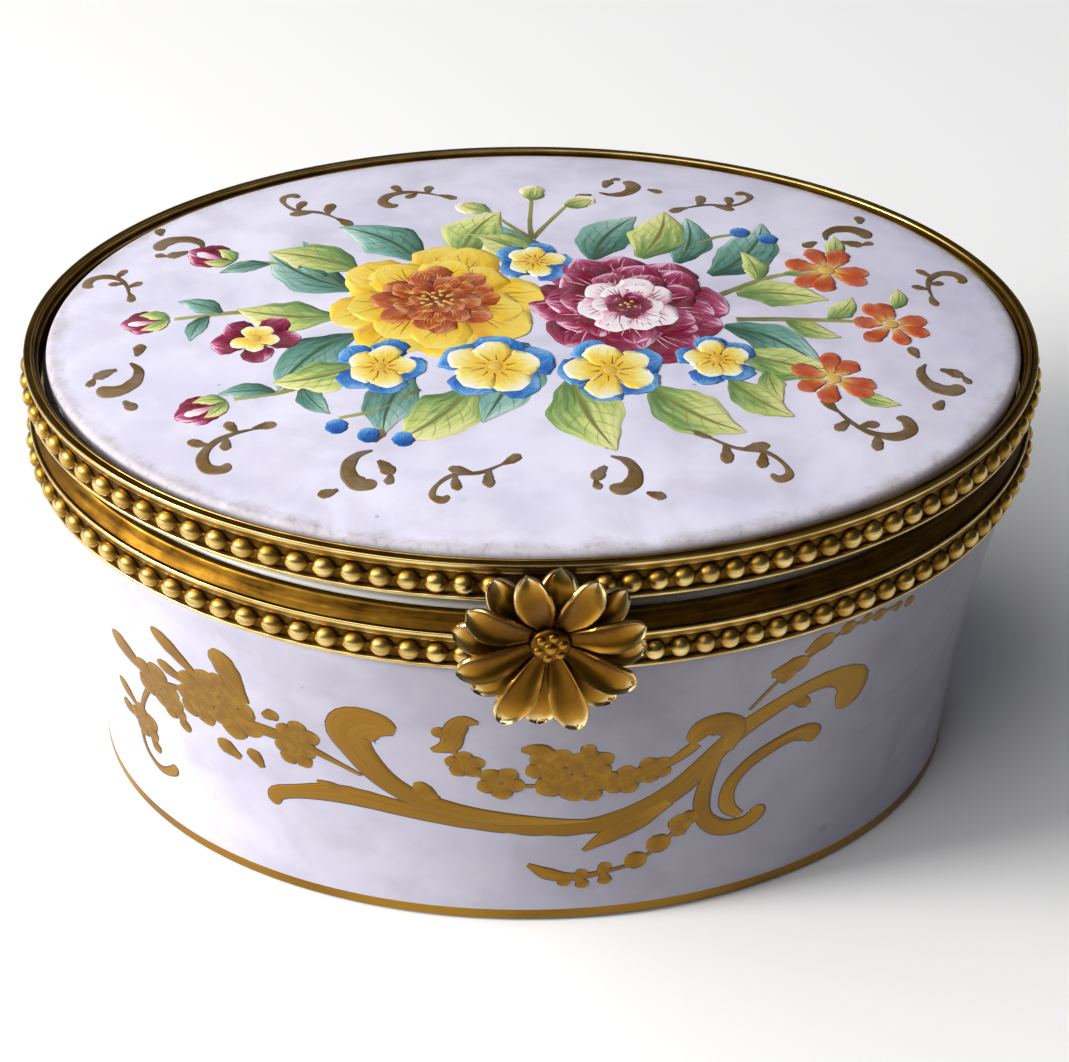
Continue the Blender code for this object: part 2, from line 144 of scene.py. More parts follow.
# Worked-out places, with the lid shut
moulding_height = ridge_height + channel_height + fillet_height
base_ridge_top = base_ring_bottom + moulding_height
lid_ring_bottom = parting_z + closing_gap
lid_ridge_top = lid_ring_bottom + moulding_height
lid_lip_top = lid_ridge_top - cove_fall
ring_inner = -mount_wall
neck_outer = ring_inner - 2 * seat_gap - cement_wall
shoulder_top = base_ring_bottom - seat_gap
plaque_edge_z = lid_lip_top + plaque_edge_rise
skirt_bottom = lid_ring_bottom + edge_break
plaque_half_width = ridge_half_width + neck_outer
plaque_half_depth = ridge_half_depth + neck_outer
plate_half_width = plaque_half_width + plaque_overhang
plate_half_depth = plaque_half_depth + plaque_overhang
rosette_z = lid_ring_bottom - rosette_drop
hinge_length = knuckles * knuckle_length + (knuckles - 1) * knuckle_gap
knuckle_step = knuckle_length + knuckle_gap
leaf_half_length = hinge_length / 2 + leaf_margin
flare_power = 1.85
crown_power = 0.8

about_hinge = Matrix.Translation(hinge_place)
ajar = about_hinge @ Matrix.Rotation(ajar_angle, 4, "X") @ Matrix.Translation(-hinge_place)


# Meshes

def add_piece(
    name, points, faces, materials, body, replaces=(), tags=None, attributes=None, sharp=40,
):
    """Named mesh that rides on a body. tags gives each face's material, attributes each point's values."""
    mesh = bpy.data.meshes.new(name)
    mesh.from_pydata(np.asarray(points, float).reshape(-1, 3).tolist(), [], faces)
    for key, values in (attributes or {}).items():
        values = np.asarray(values, np.float32)
        kind = "FLOAT" if values.ndim == 1 else "FLOAT_VECTOR"
        layer = mesh.attributes.new(key, kind, "POINT")
        layer.data.foreach_set("value" if values.ndim == 1 else "vector", values.ravel())
    for material in materials:
        mesh.materials.append(material)
    if tags is not None:
        mesh.polygons.foreach_set("material_index", tags)
    if body != "base":
        mesh.transform(ajar)
    bm = bmesh.new()
    bm.from_mesh(mesh)
    bmesh.ops.recalc_face_normals(bm, faces=bm.faces)
    bm.to_mesh(mesh)
    bm.free()
    mesh.shade_smooth()
    mesh.set_sharp_from_angle(angle=math.radians(sharp))
    piece = bpy.data.objects.new(name, mesh)
    bpy.context.scene.collection.objects.link(piece)
    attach(piece, body)
    if replaces:
        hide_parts(*replaces)
    return piece


def grid_faces(rows, columns, wrap_rows=False, wrap_columns=False, start=0):
    """Quads of a grid of points numbered row by row."""
    faces = []
    for i in range(rows if wrap_rows else rows - 1):
        for j in range(columns if wrap_columns else columns - 1):
            k = (i + 1) % rows
            m = (j + 1) % columns
            faces.append((
                start + i * columns + j,
                start + i * columns + m,
                start + k * columns + m,
                start + k * columns + j,
            ))
    return faces


def join_shells(shells):
    """One list of points and faces from several."""
    points = []
    faces = []
    start = 0
    for shell_points, shell_faces in shells:
        shell_points = np.asarray(shell_points, float).reshape(-1, 3)
        points.append(shell_points)
        faces += [tuple(start + i for i in face) for face in shell_faces]
        start += len(shell_points)
    return np.concatenate(points), faces


def rounded(section, radius, steps=3):
    """Section with rounded corners, as (out, z, relief): relief is 1 on an edge and 0 in a hollow.

    Flat stretches get a point near each end, so that the rubbing of an edge stays beside it.
    """
    shortest_flat = 0.5 * MM
    worn_border = 0.14 * MM
    corners = [Vector(p) for p in section]
    area = sum(a.x * b.y - b.x * a.y for a, b in zip(corners, corners[1:] + corners[:1]))
    result = []
    for i, corner in enumerate(corners):
        back = corners[i - 1] - corner
        ahead = corners[(i + 1) % len(corners)] - corner
        reach = min(radius, back.length * 0.45, ahead.length * 0.45)
        start = corner + back.normalized() * reach
        end = corner + ahead.normalized() * reach
        turn = (-back).normalized().cross(ahead.normalized()) * math.copysign(1, area)
        relief = 0.5 + 0.5 * max(-1, min(1, turn * 1.6))
        for k in range(steps + 1):
            t = k / steps
            place = start * (1 - t) ** 2 + corner * 2 * t * (1 - t) + end * t * t
            result.append((place.x, place.y, 0.5 + (relief - 0.5) * math.sin(math.pi * (0.15 + 0.7 * t))))
    full = []
    for a, b in zip(result, result[1:] + result[:1]):
        full.append(a)
        length = math.hypot(b[0] - a[0], b[1] - a[1])
        if length > shortest_flat:
            plain = 0.27 + 0.09 * (a[2] + b[2]) / 2
            for share in (worn_border / length, 1 - worn_border / length):
                full.append((a[0] + (b[0] - a[0]) * share, a[1] + (b[1] - a[1]) * share, plain))
    return full


def oval_places(out, angles):
    """Points of the ovals that lie out beyond the ridge oval: one row for each angle."""
    angles = np.asarray(angles)[:, None]
    out = np.asarray(out)[None, :]
    x = (ridge_half_width + out) * np.cos(angles)
    y = (ridge_half_depth + out) * np.sin(angles)
    return x, y


def girth(angles):
    """Length along the ridge oval at each angle, from the first one."""
    steps = np.hypot(np.diff(ridge_half_width * np.cos(angles)), np.diff(ridge_half_depth * np.sin(angles)))
    return np.concatenate([[0], np.cumsum(steps)])


ring_segments = 288


def add_ring(name, section, material, body, node):
    """Closed gilt mount from a section, with its run along the oval kept for the material."""
    profile = np.array(rounded(section, mount_edge_radius))
    angles = np.arange(ring_segments) * TAU / ring_segments
    x, y = oval_places(profile[:, 0], angles)
    z = np.broadcast_to(profile[:, 1], x.shape)
    around = np.concatenate([[0], np.cumsum(np.hypot(*np.diff(profile[:, :2], axis=0).T))])
    run = np.stack(np.broadcast_arrays(girth(angles)[:, None], around[None, :], 0.0), -1)
    # Faces towards the plate or the bowl's mouth are darker, as less rubbed, those at the front darkest;
    # towards the back they are lighter again, a painted highlight for the light that the back rim reflects
    wear_and_back_highlight = 0.55 + 0.4 * np.clip(np.sin(angles), 0, 1)
    relief = profile[:, 2] * np.where(profile[:, 0] < inner_faces_out, wear_and_back_highlight[:, None], 1)
    return add_piece(
        name, np.stack([x, y, z], -1), grid_faces(ring_segments, len(profile), True, True), [material],
        body, [node], attributes={
            "relief": np.broadcast_to(relief, x.shape).ravel(), "run": run.reshape(-1, 3),
        },
    )


def moulding(bottom):
    """Outer face of a mount, from its lower fillet up to its ridge."""
    channel_bottom = bottom + fillet_height
    channel_top = channel_bottom + channel_height
    ridge_top = channel_top + ridge_height
    return [
        (-edge_break, bottom),
        (0, bottom + edge_break),
        (0, channel_bottom - edge_break),
        (-channel_depth, channel_bottom),
        (-channel_depth, channel_top),
        (-channel_depth / 2, channel_top + edge_break),
        (-channel_depth / 4, channel_top + ridge_height / 2),
        (0, ridge_top - 2 * edge_break),
        (-edge_break / 2, ridge_top),
        (-3 * edge_break, ridge_top - edge_break / 2),
    ]


def build_mounts(material):
    lip_outer = ring_inner - edge_break
    lip_inner = ring_inner - lip_reach
    base_section = moulding(base_ring_bottom) + [
        ((lip_outer - edge_break) / 2, base_ridge_top + band_rise / 2 - band_dip),
        (lip_outer, parting_z),
        (lip_inner, parting_z),
        (lip_inner, parting_z - lip_thickness),
        (ring_inner, parting_z - lip_thickness - edge_break),
        (ring_inner, base_ring_bottom),
    ]
    add_ring("base_mount", base_section, material, "base", "base_ring")
    lip_top = lid_ridge_top + lid_lip_rise
    lid_section = moulding(lid_ring_bottom) + [
        (lid_lip_out / 2 - edge_break, lid_ridge_top + lid_lip_rise / 2 - cove_dip),
        (lid_lip_out + 2 * edge_break, lip_top),
        (lid_lip_out, lip_top - edge_break),
        (lid_lip_out, lip_top - lip_thickness),
        (ring_inner, lip_top - lip_thickness - edge_break),
        (ring_inner, lid_ring_bottom),
    ]
    add_ring("lid_mount", lid_section, material, "lid", "lid_ring")


def build_bead_wire(name, ring_bottom, side, body, material, node):
    """Beaded half-round wire in a mount's channel, from the clasp to the hinge on one side."""
    clasp_half_angle = (tongue_width / 2 + seat_gap + bead_radius) / ridge_half_width
    hinge_half_angle = (leaf_half_length + seat_gap + bead_radius) / ridge_half_width
    start = -math.pi / 2 + side * clasp_half_angle
    end = -math.pi / 2 + side * (math.pi - hinge_half_angle)
    fine = np.linspace(start, end, 4001)
    lengths = girth(fine)
    stretch = np.ones(len(lengths))
    if side < 0:
        stretch += left_bead_stretch + left_bead_swell * np.sin(np.pi * lengths / lengths[-1])
    half_pitch = bead_pitch / 2
    counted = np.concatenate([[0], np.cumsum(np.diff(lengths) / stretch[1:] / half_pitch)])
    half_pitches = round(counted[-1])
    step = np.linspace(0, half_pitches, half_pitches * 8 + 1)
    angles = np.interp(step, counted * half_pitches / counted[-1], fine)
    along = np.interp(angles * side, fine * side, lengths)
    from_middle = np.abs(step % 2 - 1) * half_pitch
    radius = np.sqrt(np.clip(bead_radius ** 2 - from_middle ** 2, bead_neck_radius ** 2, None))
    turns = np.radians(np.linspace(-90, 90, 13))
    relief = radius * bead_relief / bead_radius
    out = -channel_depth + seat_gap / 3 + relief[:, None] * np.cos(turns)[None, :]
    middle_z = ring_bottom + fillet_height + channel_height / 2
    x = (ridge_half_width + out) * np.cos(angles)[:, None]
    y = (ridge_half_depth + out) * np.sin(angles)[:, None]
    z = middle_z + radius[:, None] * np.sin(turns)[None, :]
    rows, columns = x.shape
    faces = grid_faces(rows, columns, wrap_columns=True)
    faces += [tuple(range(columns)), tuple(range((rows - 1) * columns, rows * columns))]
    raised = (radius - bead_neck_radius) / (bead_radius - bead_neck_radius)
    height = 0.26 + raised[:, None] * (0.16 + 0.40 * np.cos(turns)[None, :])
    run = np.stack(np.broadcast_arrays(along[:, None], turns[None, :] * MM, 0.0), -1)
    add_piece(
        name, np.stack([x, y, z], -1), faces, [material], body, [node],
        attributes={"relief": height.ravel(), "run": run.reshape(-1, 3)}, sharp=60,
    )


# Porcelain

def wall_half_axes(z):
    """Half width and half depth of the bowl's outer wall at a height."""
    share = np.clip(np.asarray(z) / shoulder_top, 0, 1) ** flare_power
    half_width = foot_half_width + (ridge_half_width - shoulder_inset - foot_half_width) * share
    half_depth = foot_half_depth + (ridge_half_depth - shoulder_inset - foot_half_depth) * share
    return half_width, half_depth


def oval_levels(levels, segments):
    """Points of stacked ovals (half width, half depth, z), and faces that close the stack at both ends."""
    angles = np.arange(segments) * TAU / segments
    levels = np.array(levels)
    x = levels[:, 0][:, None] * np.cos(angles)
    y = levels[:, 1][:, None] * np.sin(angles)
    z = np.broadcast_to(levels[:, 2][:, None], x.shape)
    faces = grid_faces(len(levels), segments, wrap_columns=True)
    faces += [tuple(range(segments)), tuple(range((len(levels) - 1) * segments, len(levels) * segments))]
    return np.stack([x, y, z], -1), faces


porcelain_segments = 256


def build_bowl(glaze, white, bisque):
    """Bowl with its foot ring, wall drawn in to the foot, neck inside the mount, and hollow."""
    grime_start = 26 * MM
    grime_depth = 4 * MM
    foot = np.array([foot_half_width, foot_half_depth])
    levels = []
    tags = []

    def level(axes, z, tag):
        levels.append((axes[0], axes[1], z))
        tags.append(tag)

    level(foot - foot_ring_width - 2 * foot_recess, foot_recess, 1)
    level(foot - foot_ring_width - foot_recess, foot_recess, 2)
    level(foot - foot_ring_width, 0.1 * MM, 2)
    level(foot - foot_ring_width + 0.1 * MM, 0, 2)
    for turn in np.radians(np.linspace(0, 90, 6)):
        inset = foot_edge_radius * (1 - math.sin(turn))
        level(foot - inset, foot_edge_radius * (1 - math.cos(turn)), 2 if turn < 0.9 else 0)
    for z in np.linspace(foot_edge_radius, shoulder_top - 0.3 * MM, 34)[1:]:
        level(wall_half_axes(z), z, 0)
    rim = np.array(wall_half_axes(shoulder_top))
    level(rim - 0.1 * MM, shoulder_top - 0.1 * MM, 0)
    level(rim - 0.4 * MM, shoulder_top, 2)
    neck = np.array([ridge_half_width, ridge_half_depth]) + neck_outer
    level(neck, shoulder_top, 2)
    level(neck, neck_top - neck_radius, 1)
    for turn in np.radians(np.linspace(0, 90, 5)[1:]):
        level(neck - neck_radius * (1 - math.cos(turn)), neck_top - neck_radius * (1 - math.sin(turn)), 1)
    inner = neck - neck_wall
    for turn in np.radians(np.linspace(90, 0, 5)):
        level(inner + neck_radius * (1 - math.cos(turn)), neck_top - neck_radius * (1 - math.sin(turn)), 1)
    inner_bottom = foot_recess + floor_thickness + floor_radius
    for z in np.linspace(shoulder_top, inner_bottom, 14):
        level(np.array(wall_half_axes(z)) - bowl_wall, z, 1)
    lowest = np.array(levels[-1][:2])
    for turn in np.radians(np.linspace(0, 90, 9)[1:]):
        inset = floor_radius * (1 - math.cos(turn))
        level(lowest - inset, inner_bottom - floor_radius * math.sin(turn), 1)
    points, faces = oval_levels(levels, porcelain_segments)
    face_tags = [tag for tag in tags[1:] for _ in range(porcelain_segments)] + [1, 1]
    add_piece(
        "bowl", points, faces, [glaze, white, bisque], "base", ["base_bowl"], face_tags,
        attributes={"rim": np.clip((points[..., 2].ravel() - grime_start) / grime_depth, 0, 1)},
    )


def crown_height(x, y):
    """Height of the lid plate's upper face above a point, with the lid shut."""
    across = (np.asarray(x) - plate_shift[0]) / plate_half_width
    deep = (np.asarray(y) - plate_shift[1]) / plate_half_depth
    share = np.clip(across ** 2 + deep ** 2, 0, 1)
    return plaque_edge_z + lid_crown * (1 - share) ** crown_power


def build_plaque(glaze, white):
    """Domed lid plate with its rolled edge, short skirt and hollow underside."""
    roll_share = 0.985
    levels = []
    tags = []
    half = np.array([plaque_half_width, plaque_half_depth])
    inner = half - plaque_wall
    hollow_z = plaque_edge_z - plaque_thickness
    for share in np.linspace(0.05, 0.98, 16):
        levels.append((*(inner * share), hollow_z + lid_crown * (1 - share ** 2) ** crown_power))
        tags.append(1)
    levels.append((*inner, hollow_z - 0.3 * MM))
    levels.append((*inner, skirt_bottom + 0.2 * MM))
    levels.append((*(inner + 0.2 * MM), skirt_bottom))
    levels.append((*(half - 0.2 * MM), skirt_bottom))
    levels.append((*half, skirt_bottom + 0.2 * MM))
    levels.append((*half, plaque_edge_z - 1.3 * MM))
    half = np.array([plate_half_width, plate_half_depth])
    levels.append((*half, plaque_edge_z - 0.9 * MM))
    tags += [1] * 7

    def face_height(share):
        return float(crown_height(plate_half_width * share + plate_shift[0], plate_shift[1]))

    for turn in np.radians(np.linspace(90, 0, 11)):
        share = roll_share + (1 - roll_share) * math.sin(turn)
        fall = plaque_edge_radius * (1 - math.cos(turn))
        levels.append((*(half * share), face_height(share) - fall))
        tags.append(0)
    for share in roll_share - (roll_share - 0.05) * np.linspace(0, 1, 44)[1:] ** 1.3:
        levels.append((*(half * share), face_height(share)))
        tags.append(0)
    points, faces = oval_levels(levels, porcelain_segments)
    face_tags = [tag for tag in tags[1:] for _ in range(porcelain_segments)] + [1, 0]
    rim = np.hypot(points[..., 0] / plate_half_width, points[..., 1] / plate_half_depth)
    points = points + np.array([*plate_shift, 0])
    add_piece(
        "lid_plate", points, faces, [glaze, white], "lid", ["lid_plaque"], face_tags,
        attributes={"rim": rim.ravel()},
    )


# Hinge

knuckle_segments = 36


def turned(profile):
    """Closed ring of a (x, radius) profile about the hinge axis."""
    profile = np.array(profile)
    angles = np.arange(knuckle_segments) * TAU / knuckle_segments
    x = np.broadcast_to(profile[:, 0], (knuckle_segments, len(profile)))
    y = hinge_y + profile[:, 1] * np.cos(angles)[:, None]
    z = hinge_z + profile[:, 1] * np.sin(angles)[:, None]
    return np.stack([x, y, z], -1), grid_faces(knuckle_segments, len(profile), True, True)


def softened_box(low, high, radius):
    """Box between two corners with rounded edges."""
    bm = bmesh.new()
    bmesh.ops.create_cube(bm, size=1)
    low, high = Vector(low), Vector(high)
    size = high - low
    place = Matrix.Translation((low + high) / 2) @ Matrix.Diagonal((*size, 1))
    bmesh.ops.transform(bm, matrix=place, verts=bm.verts)
    bmesh.ops.bevel(bm, geom=bm.edges[:], offset=radius, segments=3, affect="EDGES", profile=0.5)
    bm.verts.index_update()
    points = [tuple(v.co) for v in bm.verts]
    faces = [tuple(v.index for v in face.verts) for face in bm.faces]
    bm.free()
    return points, faces


def build_hinge_leaf(name, upward, far, own_knuckles, body, material, node):
    """Plate over the mount with its share of the knuckles."""
    near = hinge_z + upward * (knuckle_radius + seat_gap + edge_break)
    half_angle = leaf_half_length / ridge_half_width
    outer = seat_gap + leaf_thickness
    section = rounded([(seat_gap, near), (seat_gap, far), (outer, far), (outer, near)], 0.18 * MM)
    profile = np.array(section)
    angles = math.pi / 2 + half_angle * np.linspace(-1, 1, 25)
    x, y = oval_places(profile[:, 0], angles)
    z = np.broadcast_to(profile[:, 1], x.shape)
    faces = grid_faces(*x.shape, wrap_columns=True)
    faces += [tuple(range(x.shape[1])), tuple(range(x.size - x.shape[1], x.size))]
    shells = [(np.stack([x, y, z], -1), faces)]
    relief = [np.broadcast_to(0.25 + 0.6 * profile[:, 2], x.shape).ravel()]
    bore = pin_radius + pin_running_gap
    chamfer = 0.12 * MM
    knuckle_relief = (0.2, 0.75, 0.6, 0.6, 0.75, 0.2)
    web_relief = 0.5
    for index in own_knuckles:
        middle = (index - (knuckles - 1) / 2) * knuckle_step
        left = middle - knuckle_length / 2
        right = middle + knuckle_length / 2
        shells.append(turned([
            (left, bore), (left, knuckle_radius - chamfer), (left + chamfer, knuckle_radius),
            (right - chamfer, knuckle_radius), (right, knuckle_radius - chamfer), (right, bore),
        ]))
        relief.append(np.tile(knuckle_relief, knuckle_segments))
        web_inner = ridge_half_depth + seat_gap
        web_outer = web_inner + web_thickness
        ends = sorted((hinge_z + upward * bore, (near + far) / 2))
        low = (left + chamfer, web_inner + edge_break, ends[0])
        high = (right - chamfer, web_outer - edge_break, ends[1])
        shells.append(softened_box(low, high, chamfer))
        relief.append(np.full(len(shells[-1][0]), web_relief))
    points, faces = join_shells(shells)
    attributes = {"relief": np.concatenate(relief)}
    add_piece(name, points, faces, [material], body, [node], attributes=attributes)


def build_hinge_pin(material):
    """Wire pin with peened ends."""
    half = hinge_length / 2 + pin_overhang
    dome = 0.2 * MM
    segments = 24
    profile = []
    for side in (-1, 1):
        for turn in np.radians((5, 30, 60, 90)[::-side]):
            profile.append((side * (half - dome * (1 - math.cos(turn))), pin_radius * math.sin(turn)))
    profile = np.array(sorted(profile))
    angles = np.arange(segments) * TAU / segments
    x = np.repeat(profile[:, 0][:, None], segments, 1)
    y = hinge_y + profile[:, 1][:, None] * np.cos(angles)
    z = hinge_z + profile[:, 1][:, None] * np.sin(angles)
    faces = grid_faces(len(profile), segments, wrap_columns=True)
    faces += [tuple(range(segments)), tuple(range((len(profile) - 1) * segments, len(profile) * segments))]
    add_piece(
        "hinge_wire", np.stack([x, y, z], -1), faces, [material], "base", ["hinge_pin"],
        attributes={"relief": np.full(x.size, 0.6)},
    )


# Clasp

def petal_shell(angle, back, reach, half_width, cup, roll):
    """One cast spoon-shaped petal as a closed shell facing the front, with its relief.

    Its middle is a trough between raised rims. It rises outwards by cup, and its tip rolls back by roll.
    """
    rows = 34
    columns = 19
    root = 0.9 * MM
    widest = 0.62
    v = np.linspace(0, 1, rows)[:, None]
    u = np.linspace(-1, 1, columns)[None, :]
    away = np.clip((v - widest) / (1 - widest), 0, 1)
    grow = 0.30 + 0.70 * np.sin(np.pi / 2 * np.clip(v / widest, 0, 1)) ** 1.3
    half = half_width * grow * np.maximum((1 - away ** 2.6) ** 0.56, 0.05)
    radius = root + (reach - root) * v
    rise = cup * np.sin(np.pi / 2 * np.clip(v / 0.74, 0, 1)) ** 1.5
    fall = roll * np.clip((v - 0.70) / 0.30, 0, 1) ** 1.8
    strength = np.clip(2.6 * v, 0, 1) * (1 - 0.45 * away)
    trough = petal_hollow * 1.7 * np.abs(u) ** 1.7 * strength
    rim = 0.09 * MM * np.exp(-((np.abs(u) - 0.84) / 0.13) ** 2) * strength
    roll_off = 0.16 * MM * np.clip((np.abs(u) - 0.86) / 0.14, 0, 1) ** 2
    front = -back + petal_sheet + rise - fall + trough + rim - roll_off
    thin = 1 - 0.6 * np.clip(np.abs(u) ** 8 + away ** 6, 0, 1)
    rear = front - petal_sheet * thin
    across = u * half
    x = radius * math.cos(angle) - across * math.sin(angle)
    z = rosette_z + radius * math.sin(angle) + across * math.cos(angle)
    top = np.stack([x, -front, z], -1).reshape(-1, 3)
    bottom = np.stack([x, -rear, z], -1).reshape(-1, 3)
    count = rows * columns
    faces = grid_faces(rows, columns)
    faces += [tuple(reversed(face)) for face in grid_faces(rows, columns, start=count)]
    border = list(range(columns))
    border += [i * columns + columns - 1 for i in range(1, rows)]
    border += [(rows - 1) * columns + j for j in range(columns - 2, -1, -1)]
    border += [i * columns for i in range(rows - 2, 0, -1)]
    for a, b in zip(border, border[1:] + border[:1]):
        faces.append((b, a, a + count, b + count))
    # Rims and tips are lighter: partly rubbed metal, partly a painted highlight
    rim_wear_and_highlight = 0.48 * np.exp(-((np.abs(u) - 0.88) / 0.17) ** 2) * strength
    wear_and_highlight = np.clip(0.12 + 0.20 * v + rim_wear_and_highlight + 0.72 * away ** 1.6, 0, 1)
    return np.concatenate([top, bottom]), faces, np.concatenate([wear_and_highlight.ravel(), wear_and_highlight.ravel() * 0.6])


def hub_shell(back, radius):
    """Round plate from which the petals spring, bored for the rivet."""
    bore = 0.9 * MM
    segments = 40
    profile = np.array([
        (bore, back), (bore, back - petal_sheet), (radius, back - petal_sheet * 1.1), (radius, back),
    ])
    angles = np.arange(segments) * TAU / segments
    x = profile[:, 0] * np.cos(angles)[:, None]
    z = rosette_z + profile[:, 0] * np.sin(angles)[:, None]
    y = np.broadcast_to(profile[:, 1], x.shape)
    faces = grid_faces(segments, len(profile), True, True)
    return np.stack([x, y, z], -1).reshape(-1, 3), faces, np.full(x.size, 0.1)


def build_petals(name, node, material, back, phase, half_width, cup, rolls):
    """Petals on their hub. rolls gives how far each tip bends back, in mm, and its share of the reach."""
    shells = [hub_shell(back, 2.2 * MM)]
    for k, (roll, share) in enumerate(rolls):
        reach = rosette_radius * share
        shells.append(petal_shell(phase + TAU * k / petals, back, reach, half_width, cup, roll * MM))
    points, faces = join_shells([(p, f) for p, f, _ in shells])
    relief = np.concatenate([r for _, _, r in shells])
    add_piece(
        name, points, faces, [material], "clasp", [node],
        attributes={"relief": relief}, sharp=50,
    )


def dome_shell(x0, z0, radius, height, base_y, rings, segments):
    """Low dome facing the front, closed at its base."""
    turns = np.radians(np.linspace(0, 88, rings))
    angles = np.arange(segments) * TAU / segments
    r = radius * np.cos(turns)[:, None]
    x = x0 + r * np.cos(angles)
    z = z0 + r * np.sin(angles)
    y = np.broadcast_to(base_y - height * np.sin(turns)[:, None], x.shape)
    points = np.stack([x, y, z], -1).reshape(-1, 3)
    faces = grid_faces(rings, segments, wrap_columns=True)
    faces += [tuple(range(segments)), tuple(range((rings - 1) * segments, rings * segments))]
    return points, faces


def build_boss(front, material):
    """Boss of the rosette: a low dome with a ring of cast seeds round a larger one."""
    seat = front - seat_gap
    dome_height = rivet_head_height * 0.7
    dome_radius = rivet_head_radius * 0.9
    shells = [dome_shell(0, rosette_z, dome_radius, dome_height, seat, 10, 40)]
    relief = [np.full(len(shells[0][0]), 0.2)]
    seed_rings = 6
    seed_segments = 20
    seed_reach = 0.9 * MM
    seeds = [(0, 0, 0.55 * MM, 0.36 * MM)]
    seeds += [(TAU * k / 6 + 0.3, seed_reach, 0.42 * MM, 0.32 * MM) for k in range(6)]
    for angle, reach, radius, height in seeds:
        x = reach * math.cos(angle)
        z = rosette_z + reach * math.sin(angle)
        face = seat - dome_height * math.sqrt(1 - (reach / dome_radius) ** 2)
        sunk = face + height * 0.4
        shells.append(dome_shell(x, z, radius, height, sunk, seed_rings, seed_segments))
        relief.append(np.repeat(np.linspace(0.1, 0.7, seed_rings), seed_segments))
    points, faces = join_shells(shells)
    add_piece(
        "rosette_boss", points, faces, [material], "clasp", ["rosette_rivet"],
        attributes={"relief": np.concatenate(relief)},
    )


# Materials

class Nodes:
    """Short calls for building a material's node tree."""

    def __init__(self, name, owner=None):
        self.owner = owner or bpy.data.materials.new(name)
        self.owner.use_nodes = True
        self.tree = self.owner.node_tree
        self.shader = self.tree.nodes.get("Principled BSDF")

    def put(self, socket, value):
        """Links an input to a socket, or sets its value. A colour of three numbers gets its alpha."""
        if isinstance(value, bpy.types.NodeSocket):
            self.tree.links.new(value, socket)
            return
        if isinstance(value, tuple) and len(value) == 3 and len(socket.default_value) == 4:
            value = (*value, 1.0)
        if value is not None:
            socket.default_value = value

    def add(self, kind, settings=None, inputs=None):
        node = self.tree.nodes.new(kind)
        for key, value in (settings or {}).items():
            setattr(node, key, value)
        for key, value in (inputs or {}).items():
            self.put(node.inputs[key], value)
        return node

    def math(self, operation, a, b=0.5, clamp=False):
        node = self.add("ShaderNodeMath", {"operation": operation, "use_clamp": clamp}, {0: a, 1: b})
        return node.outputs[0]

    def times(self, a, b):
        return self.math("MULTIPLY", a, b)

    def plus(self, a, b):
        return self.math("ADD", a, b)

    def spread(self, value, low, high, to_low=0.0, to_high=1.0, smooth=False):
        settings = {"interpolation_type": "SMOOTHSTEP"} if smooth else None
        inputs = {"Value": value, "From Min": low, "From Max": high, "To Min": to_low, "To Max": to_high}
        return self.add("ShaderNodeMapRange", settings, inputs).outputs[0]

    def noise(self, vector, scale, detail=3.0, roughness=0.55, distortion=0.0):
        node = self.add("ShaderNodeTexNoise", None, {
            "Vector": vector, "Scale": scale, "Detail": detail,
            "Roughness": roughness, "Distortion": distortion,
        })
        return node.outputs["Fac"]

    def mix(self, factor, a, b, blend="MIX"):
        node = self.add("ShaderNodeMix", {"data_type": "RGBA", "blend_type": blend})
        self.put(node.inputs[0], factor)
        self.put(node.inputs[6], a)
        self.put(node.inputs[7], b)
        return node.outputs[2]

    def tint(self, colour, mask, amount, shade):
        """Colour moved towards a shade, by the amount where the mask is 1."""
        return self.mix(self.times(mask, amount), colour, shade)

    def moved(self, place, step):
        return self.add("ShaderNodeVectorMath", {"operation": "ADD"}, {0: place, 1: step}).outputs[0]

    def ramp(self, factor, stops):
        node = self.add("ShaderNodeValToRGB", None, {"Fac": factor})
        elements = node.color_ramp.elements
        while len(elements) < len(stops):
            elements.new(0.5)
        for element, (place, colour) in zip(elements, stops):
            element.position = place
            element.color = (*colour, 1.0)
        return node.outputs[0]

    def attribute(self, name, output="Fac"):
        return self.add("ShaderNodeAttribute", {"attribute_name": name}).outputs[output]

    def split(self, vector):
        return self.add("ShaderNodeSeparateXYZ", None, {0: vector}).outputs

    def pack(self, x, y, z):
        return self.add("ShaderNodeCombineXYZ", None, {0: x, 1: y, 2: z}).outputs[0]

    def place(self):
        return self.add("ShaderNodeTexCoord").outputs["Object"]

    def bump(self, height, strength, distance):
        inputs = {"Height": height, "Strength": strength, "Distance": distance}
        return self.add("ShaderNodeBump", None, inputs).outputs[0]

    def finish(self, **inputs):
        for key, value in inputs.items():
            self.put(self.shader.inputs[key.replace("_", " ")], value)
        return self.owner


def spots(n, place, scale, radius, share, softness=0.5):
    """Sparse soft round spots: 1 at a spot's middle and 0 outside. share is how many cells hold one."""
    cells = n.add("ShaderNodeTexVoronoi", None, {"Vector": place, "Scale": scale, "Randomness": 1.0})
    lot = n.split(cells.outputs["Color"])[0]
    size = n.times(n.spread(lot, 0.0, share, 1.0, 0.25), radius * scale)
    inside = n.spread(n.math("DIVIDE", cells.outputs["Distance"], size), softness, 1.0, 1.0, 0.0)
    return n.times(inside, n.math("LESS_THAN", lot, share))


